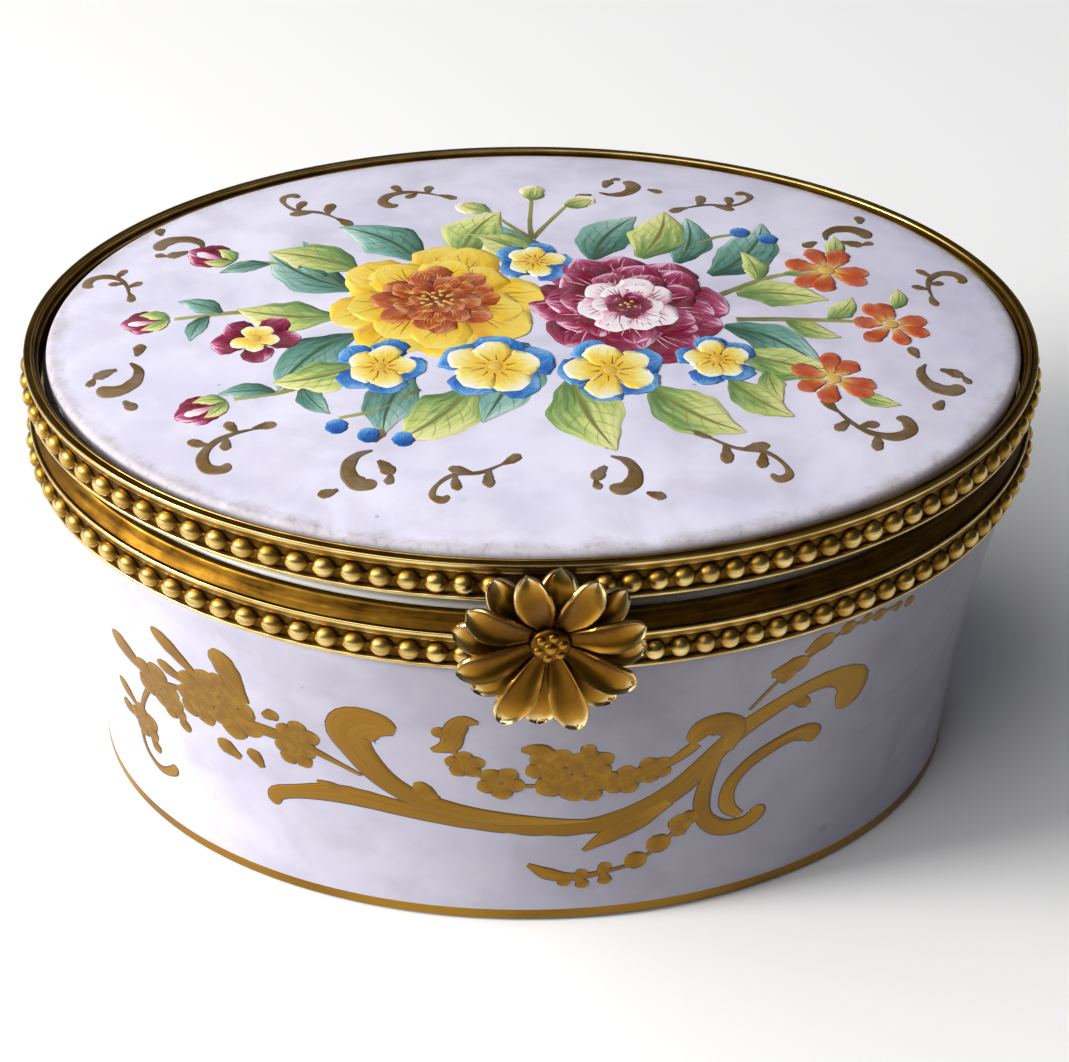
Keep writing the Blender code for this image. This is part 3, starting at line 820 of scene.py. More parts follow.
def glaze_material(name, base, deep, grime_from):
    """Glossy glaze with soft clouding, a few blue-grey spots, fine dust and grime where rim nears 1."""
    n = Nodes(name)
    place = n.place()
    wander = n.add("ShaderNodeTexNoise", None, {"Vector": place, "Scale": 900.0, "Detail": 2.0})
    shift = n.add("ShaderNodeVectorMath", {"operation": "SCALE"}, {
        0: wander.outputs["Color"], "Scale": 0.5 * MM,
    })
    warped = n.moved(place, shift.outputs[0])
    colour = n.mix(n.spread(n.noise(place, 60, 3), 0.35, 0.65), base, deep)
    wash = n.spread(n.noise(place, 130, 4, 0.6, 0.8), 0.42, 0.68, smooth=True)
    colour = n.tint(colour, wash, 0.38, tuple(c * f for c, f in zip(deep, (0.80, 0.76, 0.74))))
    clouds = n.spread(n.noise(place, 240, 3, 0.5), 0.45, 0.75, smooth=True)
    colour = n.tint(colour, clouds, 0.32, tuple(c * 0.84 for c in deep))
    pale = n.spread(n.noise(n.moved(place, (0.3, 0.1, 0.2)), 330, 3, 0.5), 0.50, 0.75, smooth=True)
    colour = n.tint(colour, pale, 0.28, (0.84, 0.83, 0.92))
    for scale, radius, share, amount, shade in (
        (170, 0.75 * MM, 0.22, 0.34, (0.34, 0.33, 0.50)),
        (330, 0.26 * MM, 0.16, 0.55, (0.24, 0.23, 0.36)),
        (290, 0.22 * MM, 0.12, 0.70, (0.92, 0.91, 0.96)),
    ):
        colour = n.tint(colour, spots(n, warped, scale, radius, share), amount, shade)
    ragged = n.plus(n.attribute("rim"), n.spread(n.noise(place, 330, 4, 0.7), 0.2, 0.8, -0.03, 0.03))
    grime = n.times(n.spread(ragged, grime_from, 1.0, 0, 1, True), 0.48)
    colour = n.mix(grime, colour, (0.30, 0.25, 0.20))
    soot = n.times(n.spread(ragged, grime_from, 1.0), n.spread(n.noise(place, 2400, 3), 0.52, 0.70))
    colour = n.tint(colour, soot, 0.38, (0.14, 0.11, 0.08))
    ripple = n.bump(n.noise(place, 240, 2), 0.10, 0.02 * MM)
    rough = n.spread(n.noise(place, 500, 3), 0.3, 0.8, 0.10, 0.20)
    return n.finish(Base_Color=colour, Roughness=n.plus(rough, grime), Normal=ripple, IOR=1.5)


def white_glaze_material():
    """White glaze of the inside, a little uneven, with a few specks."""
    n = Nodes("glaze_white")
    place = n.place()
    colour = n.mix(n.spread(n.noise(place, 90, 3), 0.35, 0.7), (0.94, 0.935, 0.90), (0.89, 0.885, 0.86))
    specks = n.spread(n.noise(place, 1300, 1), 0.75, 0.80)
    colour = n.tint(colour, specks, 0.5, (0.30, 0.27, 0.24))
    return n.finish(
        Base_Color=colour, Roughness=n.spread(n.noise(place, 400, 3), 0.3, 0.8, 0.12, 0.24),
        Normal=n.bump(n.noise(place, 200, 2), 0.1, 0.02 * MM), IOR=1.52,
    )


def bisque_material():
    """Unglazed porcelain of the foot ring, unevenly greyed."""
    n = Nodes("bisque")
    place = n.place()
    colour = n.ramp(n.noise(place, 600, 5, 0.7), [(0.3, (0.42, 0.39, 0.35)), (0.7, (0.66, 0.64, 0.60))])
    return n.finish(
        Base_Color=colour, Roughness=n.spread(n.noise(place, 1500, 3), 0.3, 0.7, 0.6, 0.85),
        Normal=n.bump(n.noise(place, 3000, 3), 0.3, 0.02 * MM),
    )


def brass_material(name, stops, rough_low, rough_high, run_scale=None, stain=0.14, grain=0.12):
    """Old gilt brass, brushed along its run where that has a scale. stops run from hollow to edge."""
    n = Nodes(name)
    place = n.place()
    if run_scale:
        run = n.split(n.attribute("run", "Vector"))
        brushed = n.pack(n.times(run[0], run_scale), n.times(run[1], run_scale * 9), 0.0)
        streaks = n.noise(brushed, 1.0, 4, 0.6)
    else:
        streaks = n.noise(place, 2600, 3, 0.6)
    patches = n.noise(place, 320, 4, 0.6)
    # relief is rubbing and patina, and on the mounts' back faces and the petals also a painted highlight
    wear_and_highlight = n.plus(n.attribute("relief"), n.spread(patches, 0.25, 0.75, -stain, stain))
    wear_and_highlight = n.plus(wear_and_highlight, n.spread(streaks, 0.3, 0.7, -grain, grain))
    pits = n.spread(n.noise(place, 5200, 2), 0.68, 0.78)
    colour = n.tint(n.ramp(wear_and_highlight, stops), pits, grain * 4, stops[0][1])
    rough = n.spread(wear_and_highlight, 0.1, 0.9, rough_high, rough_low)
    rough = n.plus(rough, n.spread(streaks, 0.3, 0.7, -grain / 3, grain / 2))
    height = n.plus(streaks, n.times(n.noise(place, 1900, 3), 1.2))
    bump = n.bump(height, 0.08 + grain * 1.7, 0.03 * MM)
    return n.finish(Base_Color=colour, Metallic=1.0, Roughness=rough, Normal=bump)


def plaster_material(name, dark, pale):
    """Old plaster bed."""
    n = Nodes(name)
    place = n.place()
    colour = n.ramp(n.noise(place, 900, 5, 0.7), [(0.3, dark), (0.7, pale)])
    return n.finish(
        Base_Color=colour, Roughness=n.spread(n.noise(place, 2000, 2), 0.3, 0.7, 0.75, 0.95),
        Normal=n.bump(n.noise(place, 2600, 4), 0.5, 0.05 * MM),
    )


def paint_material(
    name, stops, metallic=0.0, roughness=0.28, edge=None, edge_width=0.12, vein=None, streak=0.35,
    side=0.0, tone=0.25, wash=0.05,
):
    """Enamel or gold laid on in brush strokes. stops runs from a stroke's root to its tip."""
    n = Nodes(name)
    across, along, seed = n.split(n.attribute("stroke", "Vector"))[:3]
    brushed = n.pack(n.times(across, 2.6), n.times(along, 1.1), n.times(seed, 37.0))
    bristles = n.noise(brushed, 2.4, 4, 0.6)
    shift = n.spread(bristles, 0.2, 0.8, -streak, streak)
    colour = n.ramp(n.plus(n.plus(along, shift), n.times(across, side)), stops)
    thin = n.spread(n.noise(n.place(), 620, 3, 0.6, 0.6), 0.40, 0.62)
    colour = n.tint(colour, thin, wash, (0.93, 0.92, 0.94))
    darker = n.mix(1.0, colour, (0.62, 0.58, 0.60), "MULTIPLY")
    colour = n.tint(colour, n.math("FRACT", n.times(seed, 7.31)), tone, darker)
    if vein is not None:
        width = n.math("ABSOLUTE", across)
        middle = n.spread(width, 0.03, 0.11, 1.0, 0.0)
        ribs = n.math("FRACT", n.plus(n.times(along, 7.0), n.times(width, -1.6)))
        ribs = n.times(n.spread(ribs, 0.0, 0.16, 1.0, 0.0), n.spread(width, 0.85, 0.6))
        colour = n.mix(n.math("MAXIMUM", middle, n.times(ribs, 0.75)), colour, vein)
    if edge is not None:
        border = n.plus(n.attribute("edge"), n.spread(bristles, 0.2, 0.8, -0.03, 0.05))
        broken = n.spread(n.noise(n.place(), 900, 2), 0.38, 0.56, 0.25, 1.0)
        border = n.times(n.spread(border, edge_width * 0.55, edge_width, 1.0, 0.0), broken)
        colour = n.mix(border, colour, edge)
    rough = n.spread(bristles, 0.25, 0.75, roughness - 0.05, roughness + 0.1)
    bump = n.bump(bristles, 0.22, 0.03 * MM)
    return n.finish(Base_Color=colour, Metallic=metallic, Roughness=rough, Normal=bump, IOR=1.5)


# Painted ornament

class Painter:
    """Brush strokes on one surface, kept as low raised patches until they become one piece."""

    across = np.array([-1, -0.94, -0.62, -0.22, 0.22, 0.62, 0.94, 1])
    rise = np.array([-1, 0.35, 0.85, 1, 1, 0.85, 0.35, -1])
    fewest_rows = 7
    most_rows = 46
    rows_per_place = 6.4
    # In mm, out from the glaze or across the stroke
    sink = 0.03
    first_level = 0.01
    level_step = 0.018
    thickness = 0.02
    outline_width = 0.11

    def __init__(self, surface, under=None, ragged=1.0):
        """under is a painter that lays a slightly wider copy of each stroke below it, as an outline."""
        self.surface = surface
        self.under = under
        self.ragged = ragged
        self.points = []
        self.faces = []
        self.stroke_values = []
        self.edge_values = []
        self.count = 0
        self.drawn = 0

    def stroke(self, places, layer=0, round_start=False, round_end=False):
        """Lays one stroke through (p, q, half width) places, all in mm. Round ends are half discs."""
        places = np.array(places, float)
        if self.under:
            self.under.stroke(places + np.array([0, 0, self.outline_width]), 0, round_start, round_end)
            layer += 1
        rows = int(max(self.fewest_rows, min(self.most_rows, self.rows_per_place * len(places))))
        v = (1 - np.cos(np.pi * np.linspace(0, 1, rows))) / 2
        line = smooth_line(places, v)
        path = line[:, :2]
        wobble = 1 + self.ragged * (
            0.05 * np.sin(v * 17 + self.drawn * 2.1) + 0.04 * np.sin(v * 31 + self.drawn))
        half = np.maximum(line[:, 2] * wobble, 0.012)
        steps = np.hypot(*np.diff(path, axis=0).T)
        run = np.concatenate([[0], np.cumsum(steps)])
        run *= 1 / max(run[-1], 1e-9)
        length = steps.sum()
        for wanted, away in ((round_start, run * length), (round_end, (1 - run) * length)):
            if wanted:
                reach = np.minimum(half, length / 2)
                half = half * np.sqrt(np.clip(1 - np.clip(1 - away / reach, 0, 1) ** 2, 0.0004, 1))
        heading = np.gradient(path, axis=0)
        heading /= np.maximum(np.hypot(heading[:, 0], heading[:, 1]), 1e-9)[:, None]
        side = np.stack([-heading[:, 1], heading[:, 0]], -1)
        flat = path[:, None, :] + side[:, None, :] * (half[:, None] * self.across)[..., None]
        ends = np.clip(np.minimum(run, 1 - run) * length / 0.12, 0, 1)
        level = self.first_level + layer * self.level_step
        swell = self.thickness * np.maximum(self.rise, 0) * (0.3 + 0.7 * ends[:, None])
        height = np.where(self.rise < 0, -self.sink, level + swell)
        height[0] = height[-1] = -self.sink
        points = self.surface(flat[..., 0] * MM, flat[..., 1] * MM, height * MM)
        columns = len(self.across)
        start = self.count
        self.faces += grid_faces(rows, columns, start=start)
        for i in range(rows - 1):
            a = start + i * columns
            b = a + columns
            self.faces.append((a + columns - 1, a, b, b + columns - 1))
        self.faces.append(tuple(range(start, start + columns)))
        self.faces.append(tuple(range(start + (rows - 1) * columns, start + rows * columns)))
        self.points.append(points.reshape(-1, 3))
        seed = (self.drawn * 0.6180339) % 1
        values = np.stack(np.broadcast_arrays(self.across[None, :], run[:, None], seed), -1)
        self.stroke_values.append(values.reshape(-1, 3))
        nearest = np.minimum((1 - np.abs(self.across))[None, :] * half[:, None], 10)
        self.edge_values.append(nearest.ravel())
        self.count += rows * columns
        self.drawn += 1

    def piece(self, name, material, body, slot):
        return add_piece(
            name, np.concatenate(self.points), self.faces, [material], body, attributes={
                "stroke": np.concatenate(self.stroke_values), "edge": np.concatenate(self.edge_values),
            }, sharp=65,
        )


def smooth_line(places, v):
    """Smooth curve through the places, read at shares v of its whole run."""
    if len(places) == 2:
        return places[0] + (places[1] - places[0]) * v[:, None]
    ends = [2 * places[0] - places[1], *places, 2 * places[-1] - places[-2]]
    p = np.array(ends)
    at = v * (len(places) - 1)
    k = np.minimum(at.astype(int), len(places) - 2)
    t = (at - k)[:, None]
    a, b, c, d = p[k], p[k + 1], p[k + 2], p[k + 3]
    bend = (2 * a - 5 * b + 4 * c - d) * t ** 2
    twist = (3 * b - a - 3 * c + d) * t ** 3
    return 0.5 * (2 * b + (c - a) * t + bend + twist)


def lid_surface(x, y, height):
    return np.stack([x, y, crown_height(x, y) + height], -1)


wall_middle_z = 15 * MM
wall_angles = np.linspace(-1.5 * math.pi, 0.5 * math.pi, 8001)
wall_middle = wall_half_axes(wall_middle_z)
wall_x = wall_middle[0] * np.cos(wall_angles)
wall_y = wall_middle[1] * np.sin(wall_angles)
wall_run = np.concatenate([[0], np.cumsum(np.hypot(np.diff(wall_x), np.diff(wall_y)))])
wall_run -= wall_run[len(wall_run) // 2]
half_girth = wall_run[-1]


def wall_surface(girth_place, z, height):
    """Point on the bowl's wall at a run along its girth from the front middle, at a height."""
    run = (girth_place + half_girth) % (2 * half_girth) - half_girth
    angle = np.interp(run, wall_run, wall_angles)
    half_width, half_depth = wall_half_axes(z)
    return np.stack([(half_width + height) * np.cos(angle), (half_depth + height) * np.sin(angle), z], -1)


def polar(x, y, angle, reach):
    return x + reach * math.cos(math.radians(angle)), y + reach * math.sin(math.radians(angle))


# Outlines as (share of the length, share of the half width there)
blunt_petal = ((0, 0.30), (0.25, 0.62), (0.5, 0.92), (0.72, 1.0), (0.9, 0.80), (1.0, 0.34))
pointed_leaf = ((0, 0.16), (0.2, 0.62), (0.42, 1.0), (0.66, 0.80), (0.86, 0.36), (1.0, 0.03))


def petal_places(x, y, angle, start, length, width, bend=0.0, outline=blunt_petal):
    """Places of a petal or leaf that springs from (x, y), bending sideways by bend degrees."""
    places = []
    for share, half in outline:
        px, py = polar(x, y, angle + bend * share, start + length * share)
        places.append((px, py, width * half))
    return places


def draw_flower(painter, x, y, rings, layer, turn=0.0, rng=None, lines=None):
    """Rings of petals, the outer ones first. rings holds (count, start, length, half width).

    lines is a painter for thin strokes that run up each petal.
    """
    for index, (count, start, length, width) in enumerate(rings):
        for k in range(count):
            angle = turn + 360 * (k + 0.5 * (index % 2)) / count + rng.uniform(-6, 6)
            stretch = length * rng.uniform(0.88, 1.08)
            broad = width * rng.uniform(0.9, 1.12)
            bend = rng.uniform(-20, 20)
            level = layer + index + 0.4 * (k % 2)
            painter.stroke(petal_places(x, y, angle, start, stretch, broad, bend), level, round_end=True)
            if lines:
                for lean in (-0.5, -0.05, 0.42):
                    spread = math.degrees(math.atan2(broad * lean, start + stretch))
                    first = rng.uniform(0.15, 0.45)
                    last = rng.uniform(0.66, 0.92)
                    places = []
                    for share, half in ((first, 0.11), ((first + last) / 2, 0.09), (last, 0.03)):
                        heading = angle + spread * share + bend * share
                        places.append((*polar(x, y, heading, start + stretch * share), half))
                    lines.stroke(places, level + 0.2)


def draw_dots(painter, dots, layer=0):
    """Round dabs given as (x, y, radius)."""
    for x, y, radius in dots:
        places = [(x - radius, y, radius), (x + radius, y, radius)]
        painter.stroke(places, layer, round_start=True, round_end=True)


def draw_leaf(painter, x, y, angle, length, width, layer, bend=18):
    painter.stroke(petal_places(x, y, angle, 0, length, width, bend, pointed_leaf), layer)


sprig_kinds = (
    (
        (
            (0, 0, 0.12), (1.6, 0.5, 0.22), (3.2, 0.5, 0.32), (4.6, -0.3, 0.46), (5.0, -1.6, 0.54),
            (4.2, -2.4, 0.5), (3.5, -2.1, 0.3),
        ),
        (
            (0.2, 0.1, 188, 1.8, 0.46), (1.2, 0.4, 78, 1.6, 0.46), (2.2, 0.5, -68, 1.5, 0.44),
            (3.5, 0.4, 44, 1.8, 0.46),
        ),
    ),
    (
        (
            (0, 0, 0.12), (0.9, 0.9, 0.40), (2.2, 1.1, 0.58), (3.4, 0.5, 0.72), (3.9, -0.6, 0.78),
            (3.4, -1.6, 0.55),
        ),
        (
            (1.0, -0.8, -62, 2.0, 0.62), (-0.9, 0.2, 172, 1.7, 0.54), (4.9, 0.9, 38, 1.6, 0.52),
            (2.2, -2.2, -20, 1.2, 0.42),
        ),
    ),
    (
        (
            (0, 0, 0.12), (2.0, 0.3, 0.22), (4.0, -0.2, 0.24), (5.6, 0.4, 0.2), (6.4, 1.4, 0.34),
            (5.9, 2.2, 0.42), (5.2, 1.9, 0.24),
        ),
        (
            (0.1, 0, 186, 1.9, 0.5), (1.2, 0.3, 55, 2.1, 0.52), (2.6, 0.2, -52, 2.0, 0.5),
            (3.9, -0.1, 62, 1.8, 0.46),
        ),
    ),
)


def draw_sprig(painter, x, y, angle, size, hand, kind):
    """Gold sprig of the lid, one of three kinds: a curling stem with drop-shaped leaves along it."""
    turn = math.radians(angle)

    def at(along, across):
        along *= size
        across *= size * hand
        return (
            x + along * math.cos(turn) - across * math.sin(turn),
            y + along * math.sin(turn) + across * math.cos(turn),
        )

    stem, leaves = sprig_kinds[kind]
    painter.stroke([(*at(along, across), half * size) for along, across, half in stem], 0, round_end=True)
    for along, across, lean, length, half in leaves:
        heading = angle + lean * hand
        leaf = petal_places(*at(along, across), heading, 0, length * size, half * size, 14 * hand)
        painter.stroke(leaf, 0.2, round_end=True)


def draw_leafy_stem(painter, leaves, places, dabs, layer=0):
    """Stem with leaves. dabs gives each leaf's place, angle, length and half width."""
    painter.stroke(places, layer)
    for x, y, angle, length, width in dabs:
        draw_leaf(leaves, x, y, angle, length, width, layer + 0.3)


def paint_lid(paints):
    """Spray of garden flowers across the plate, with leaves, buds and gold sprigs round it."""
    rng = random.Random(7)
    names = (
        "crimson", "pink", "gold_yellow", "russet", "orange", "blue", "primrose", "leaf", "teal", "stem",
        "lid_gold", "seed", "line",
    )
    brush = {name: Painter(lid_surface) for name in names}
    peony = (7.6, 1.2)
    dahlia = (-7.6, 2.4)
    golden_angle = 137.5

    # Leaves behind the spray
    for x, y, angle, length, width, bend in (
        (-9, 8.6, 112, 9.0, 2.6, 24), (-14, 4.4, 160, 9.4, 2.4, -22), (14.5, 6.2, 34, 10.4, 2.5, 26),
        (15.0, -1.6, -14, 9.0, 2.2, -24), (-14, -2.4, 206, 9.4, 2.3, 26), (5.2, 8.4, 82, 8.6, 2.5, -20),
        (-0.4, 6.0, 92, 9.4, 2.3, 16), (-1.0, -4.0, 262, 11.0, 2.8, -10), (-9.6, -8.0, 236, 8.0, 2.3, 18),
        (12.0, 8.0, 60, 8.0, 2.0, 20),
    ):
        draw_leaf(brush["teal"], x, y, angle, length, width, 0, bend)
    for x, y, angle, length, width, bend in (
        (-5.4, 9.4, 84, 8.2, 2.7, -18), (9.0, 8.8, 56, 8.6, 2.6, 16), (-14, 7.4, 138, 8.0, 2.5, 16),
        (2.6, -9.0, -84, 9.4, 3.1, 12), (-5.0, -10.0, -118, 8.6, 2.8, -14), (8.6, -10.0, -58, 8.8, 2.8, 18),
        (15.6, -5.0, -34, 8.4, 2.3, 18), (-15.6, 0.4, 182, 8.0, 2.3, -14), (0.6, 8.0, 118, 7.4, 2.2, 20),
        (-13.6, -6.6, 214, 7.0, 2.2, -18), (16.4, 3.2, 12, 7.4, 2.1, -16), (14.8, -9.0, -62, 6.4, 1.9, 16),
    ):
        draw_leaf(brush["leaf"], x, y, angle, length, width, 0.6, bend)

    # Two large blooms
    draw_flower(brush["crimson"], *peony, [
        (9, 2.4, 6.0, 3.0), (8, 1.6, 5.2, 2.7), (7, 1.0, 4.4, 2.3),
    ], 1.8, 12, rng, brush["pink"])
    draw_flower(brush["pink"], *peony, [
        (7, 0.6, 3.6, 1.9), (6, 0.3, 2.8, 1.5),
    ], 4.8, 30, rng, brush["crimson"])
    draw_flower(brush["crimson"], *peony, [(5, 0.2, 1.9, 1.1), (4, 0.1, 1.2, 0.8)], 6.8, 0, rng)
    draw_dots(brush["seed"], [
        (*polar(*peony, golden_angle * k, 0.30 * math.sqrt(k)), 0.16) for k in range(6)
    ], 8.8)
    draw_flower(brush["gold_yellow"], *dahlia, [
        (8, 2.4, 6.2, 3.1), (7, 1.6, 5.2, 2.8),
    ], 1.8, 4, rng, brush["line"])
    draw_flower(brush["russet"], *dahlia, [
        (11, 1.2, 3.8, 1.3), (9, 0.6, 3.2, 1.2), (7, 0.2, 2.3, 1.0),
    ], 3.8, 20, rng, brush["seed"])
    draw_dots(brush["seed"], [
        (*polar(*dahlia, golden_angle * k, 0.36 * math.sqrt(k)), 0.20) for k in range(14)
    ], 6.8)

    # Primroses in yellow with white and blue lips
    for x, y, size, turn in (
        (-3.2, -7.4, 1.12, 10), (5.6, -8.0, 1.05, 40), (-12.0, -7.0, 0.84, 0), (14.0, -6.4, 0.78, 25),
        (0.4, 8.2, 0.70, 5),
    ):
        draw_flower(brush["blue"], x, y, [(5, 0.9, 3.3 * size, 2.0 * size)], 2.4, turn, rng)
        draw_flower(brush["primrose"], x, y, [(5, 0.2, 3.2 * size, 1.55 * size)], 3.4, turn, rng)
        draw_dots(brush["seed"], [(x, y, 0.5 * size)], 4.6)
        for k in range(10):
            start = polar(x, y, 36 * k + turn, 0.75 * size)
            end = polar(x, y, 36 * k + turn + 6, (1.5 + 0.4 * (k % 2)) * size)
            brush["line"].stroke([(*start, 0.09), (*end, 0.03)], 4.4)

    # Small orange blossoms on branching stems to the right
    for places, dabs in (
        ([(15, 3, 0.3), (19.4, 6.0, 0.28), (23.0, 7.2, 0.2)], [
            (18.4, 5.4, 84, 4.8, 1.25), (20.6, 6.6, 10, 4.0, 1.0), (24.8, 9.8, 60, 3.6, 0.9),
        ]),
        ([(16, -0.6, 0.32), (21, -0.4, 0.3), (27.0, -0.4, 0.2)], [
            (20, -0.4, -48, 4.8, 1.2), (23.4, -0.2, 38, 4.2, 1.1), (29.0, 1.8, 60, 3.2, 0.8),
        ]),
        ([(15, -5, 0.3), (19, -8.2, 0.26), (21.6, -8.8, 0.2)], [
            (18.0, -7.4, -100, 4.4, 1.1), (24.2, -10.2, -40, 3.8, 0.9), (20.0, -8.6, 20, 3.6, 0.9),
        ]),
    ):
        draw_leafy_stem(brush["stem"], brush["leaf"], places, dabs)
    for x, y, size, turn in ((24.2, 7.4, 1.08, 5), (28.4, -0.6, 0.96, 30), (22.8, -8.6, 1.0, 50)):
        draw_flower(brush["orange"], x, y, [(7, 0.7, 2.7 * size, 0.92 * size)], 1.4, turn, rng)
        draw_dots(brush["seed"], [(x, y, 0.62 * size)], 3.0)

    # Crimson buds and one small bloom to the left
    for places, dabs in (
        ([(-15, 5, 0.32), (-19.4, 8.6, 0.3), (-23.6, 9.6, 0.22)], [
            (-18.6, 8.0, 70, 4.6, 1.2), (-21.0, 9.0, 176, 4.2, 1.0), (-16.4, 6.4, 120, 4.0, 1.1),
        ]),
        ([(-16, 0, 0.32), (-21.6, 1.6, 0.3), (-28.4, 1.2, 0.22)], [
            (-24.6, 1.6, 130, 4.2, 1.1), (-25.6, 1.4, 232, 3.8, 0.9), (-19.2, 1.0, 228, 4.4, 1.1),
        ]),
        ([(-14, -6, 0.32), (-18.6, -9.4, 0.3), (-23.2, -10.4, 0.22)], [
            (-18.0, -9.0, -78, 4.4, 1.1), (-20.0, -9.8, 160, 4.4, 1.1),
        ]),
    ):
        draw_leafy_stem(brush["stem"], brush["teal"], places, dabs)
    for x, y, angle, size in ((-24.0, 9.8, 150, 1.15), (-28.8, 1.2, 186, 1.0), (-23.8, -10.6, 206, 1.1)):
        for lean, length in ((-30, 3.0), (30, 3.0), (0, 3.6)):
            petal = petal_places(x, y, angle + lean, 0.2, length * size, 1.1 * size, -lean * 0.7)
            brush["crimson"].stroke(petal, 1 + (lean == 0), round_end=True)
        light = petal_places(x, y, angle + 8, 1.0, 2.2 * size, 0.42 * size, -8)
        brush["pink"].stroke(light, 2.6, round_end=True)
        for lean in (-52, 52):
            draw_leaf(brush["leaf"], x, y, angle + lean, 2.5, 0.7, 2.8, -lean * 0.5)
    draw_flower(brush["crimson"], -21.8, -2.4, [(5, 0.3, 3.2, 1.5)], 1.2, 54, rng)
    draw_flower(brush["primrose"], -21.8, -2.4, [(5, 0.1, 1.9, 0.8)], 2.4, 54, rng)
    draw_dots(brush["seed"], [(-21.8, -2.4, 0.5)], 3.6)

    # Green buds at the top and berries in blue
    for x, y, angle in ((-3.0, 17.0, 150), (3.4, 17.8, 30), (0.6, 19.0, 80)):
        brush["primrose"].stroke(petal_places(x, y, angle, 0, 3.0, 1.1, 8), 1.2, round_end=True)
        draw_leaf(brush["leaf"], x, y, angle - 24, 2.6, 0.7, 1.8, 22)
        draw_leaf(brush["leaf"], x, y, angle + 24, 2.6, 0.7, 1.8, -22)
        brush["stem"].stroke([(0.4, 12.0, 0.26), (x * 0.5, 14.6, 0.2), (x, y, 0.16)], 0.4)
    for x, y in ((-15.4, -14.4), (-13.0, -15.6), (-10.4, -16.2), (17.6, 13.4), (19.8, 12.4)):
        berry = [(x, y - 0.9, 0.85), (x + 0.2, y + 0.9, 0.95)]
        brush["blue"].stroke(berry, 1, round_start=True, round_end=True)
    brush["stem"].stroke([(-9, -10, 0.26), (-12.0, -12.4, 0.22), (-15.2, -13.4, 0.18)], 0)
    brush["stem"].stroke([(12, 9, 0.26), (15.4, 12.4, 0.22), (19.4, 13.4, 0.18)], 0)

    # Gold sprigs round the border
    for x, y, angle, size, hand, kind in (
        (-31.4, -4.6, 258, 1.0, 1, 1), (-21.4, -14.2, 214, 1.05, -1, 0), (-12.6, -17.4, 250, 1.0, -1, 1),
        (-3.0, -19.4, 200, 0.95, 1, 2), (5.0, -18.6, -70, 0.95, 1, 1), (12.6, -16.4, -24, 1.05, -1, 2),
        (22.6, -12.6, -40, 1.1, -1, 0), (30.4, -6.0, -72, 0.95, -1, 1), (32.4, 4.0, 76, 0.9, 1, 0),
        (24.8, 12.6, 36, 0.95, 1, 1), (13.6, 17.8, 12, 0.95, 1, 2), (6.4, 20.6, 20, 0.85, -1, 1),
        (-7.0, 20.2, 172, 0.95, -1, 0), (-15.6, 16.4, 148, 1.0, -1, 2), (-26.6, 12.2, 150, 0.95, -1, 1),
        (-32.2, 5.6, 120, 0.85, -1, 0),
    ):
        draw_sprig(brush["lid_gold"], x, y, angle, size, hand, kind)

    for name in names:
        slot = "gilt_brass" if name == "lid_gold" else "porcelain"
        brush[name].piece(f"lid_paint_{name}", paints[name], "lid", slot)


def draw_blossom(painter, s, z, size, turn):
    """Gilt five-lobed blossom seen as a silhouette."""
    for k in range(5):
        petal = petal_places(s, z, turn + 72 * k, 0.1, 1.9 * size, 0.84 * size)
        painter.stroke(petal, 0.1 * (k % 2), round_end=True)
    draw_dots(painter, [(s, z, 0.5 * size)], 0.3)


def paint_wall(paints):
    """Gilt scrolls, garlands and a sprig on the bowl, once at the front and once at the back."""
    for name, offset in (("front", 0.0), ("back", half_girth / MM)):
        def surface(s, z, height, shift=offset * MM):
            return wall_surface(s + shift, z, height)

        outline = Painter(surface, ragged=0.6)
        gold = Painter(surface, outline, 0.6)
        dark = Painter(surface)
        paint_scrolls(gold)
        paint_garlands(gold, dark)
        paint_sprig(gold, dark)
        gold.piece(f"wall_gold_{name}", paints["wall_gold"], "base", "gilt_brass")
        outline.piece(f"wall_gold_{name}_outline", paints["wall_outline"], "base", "gilt_brass")
        dark.piece(f"wall_gold_{name}_centres", paints["wall_outline"], "base", "gilt_brass")


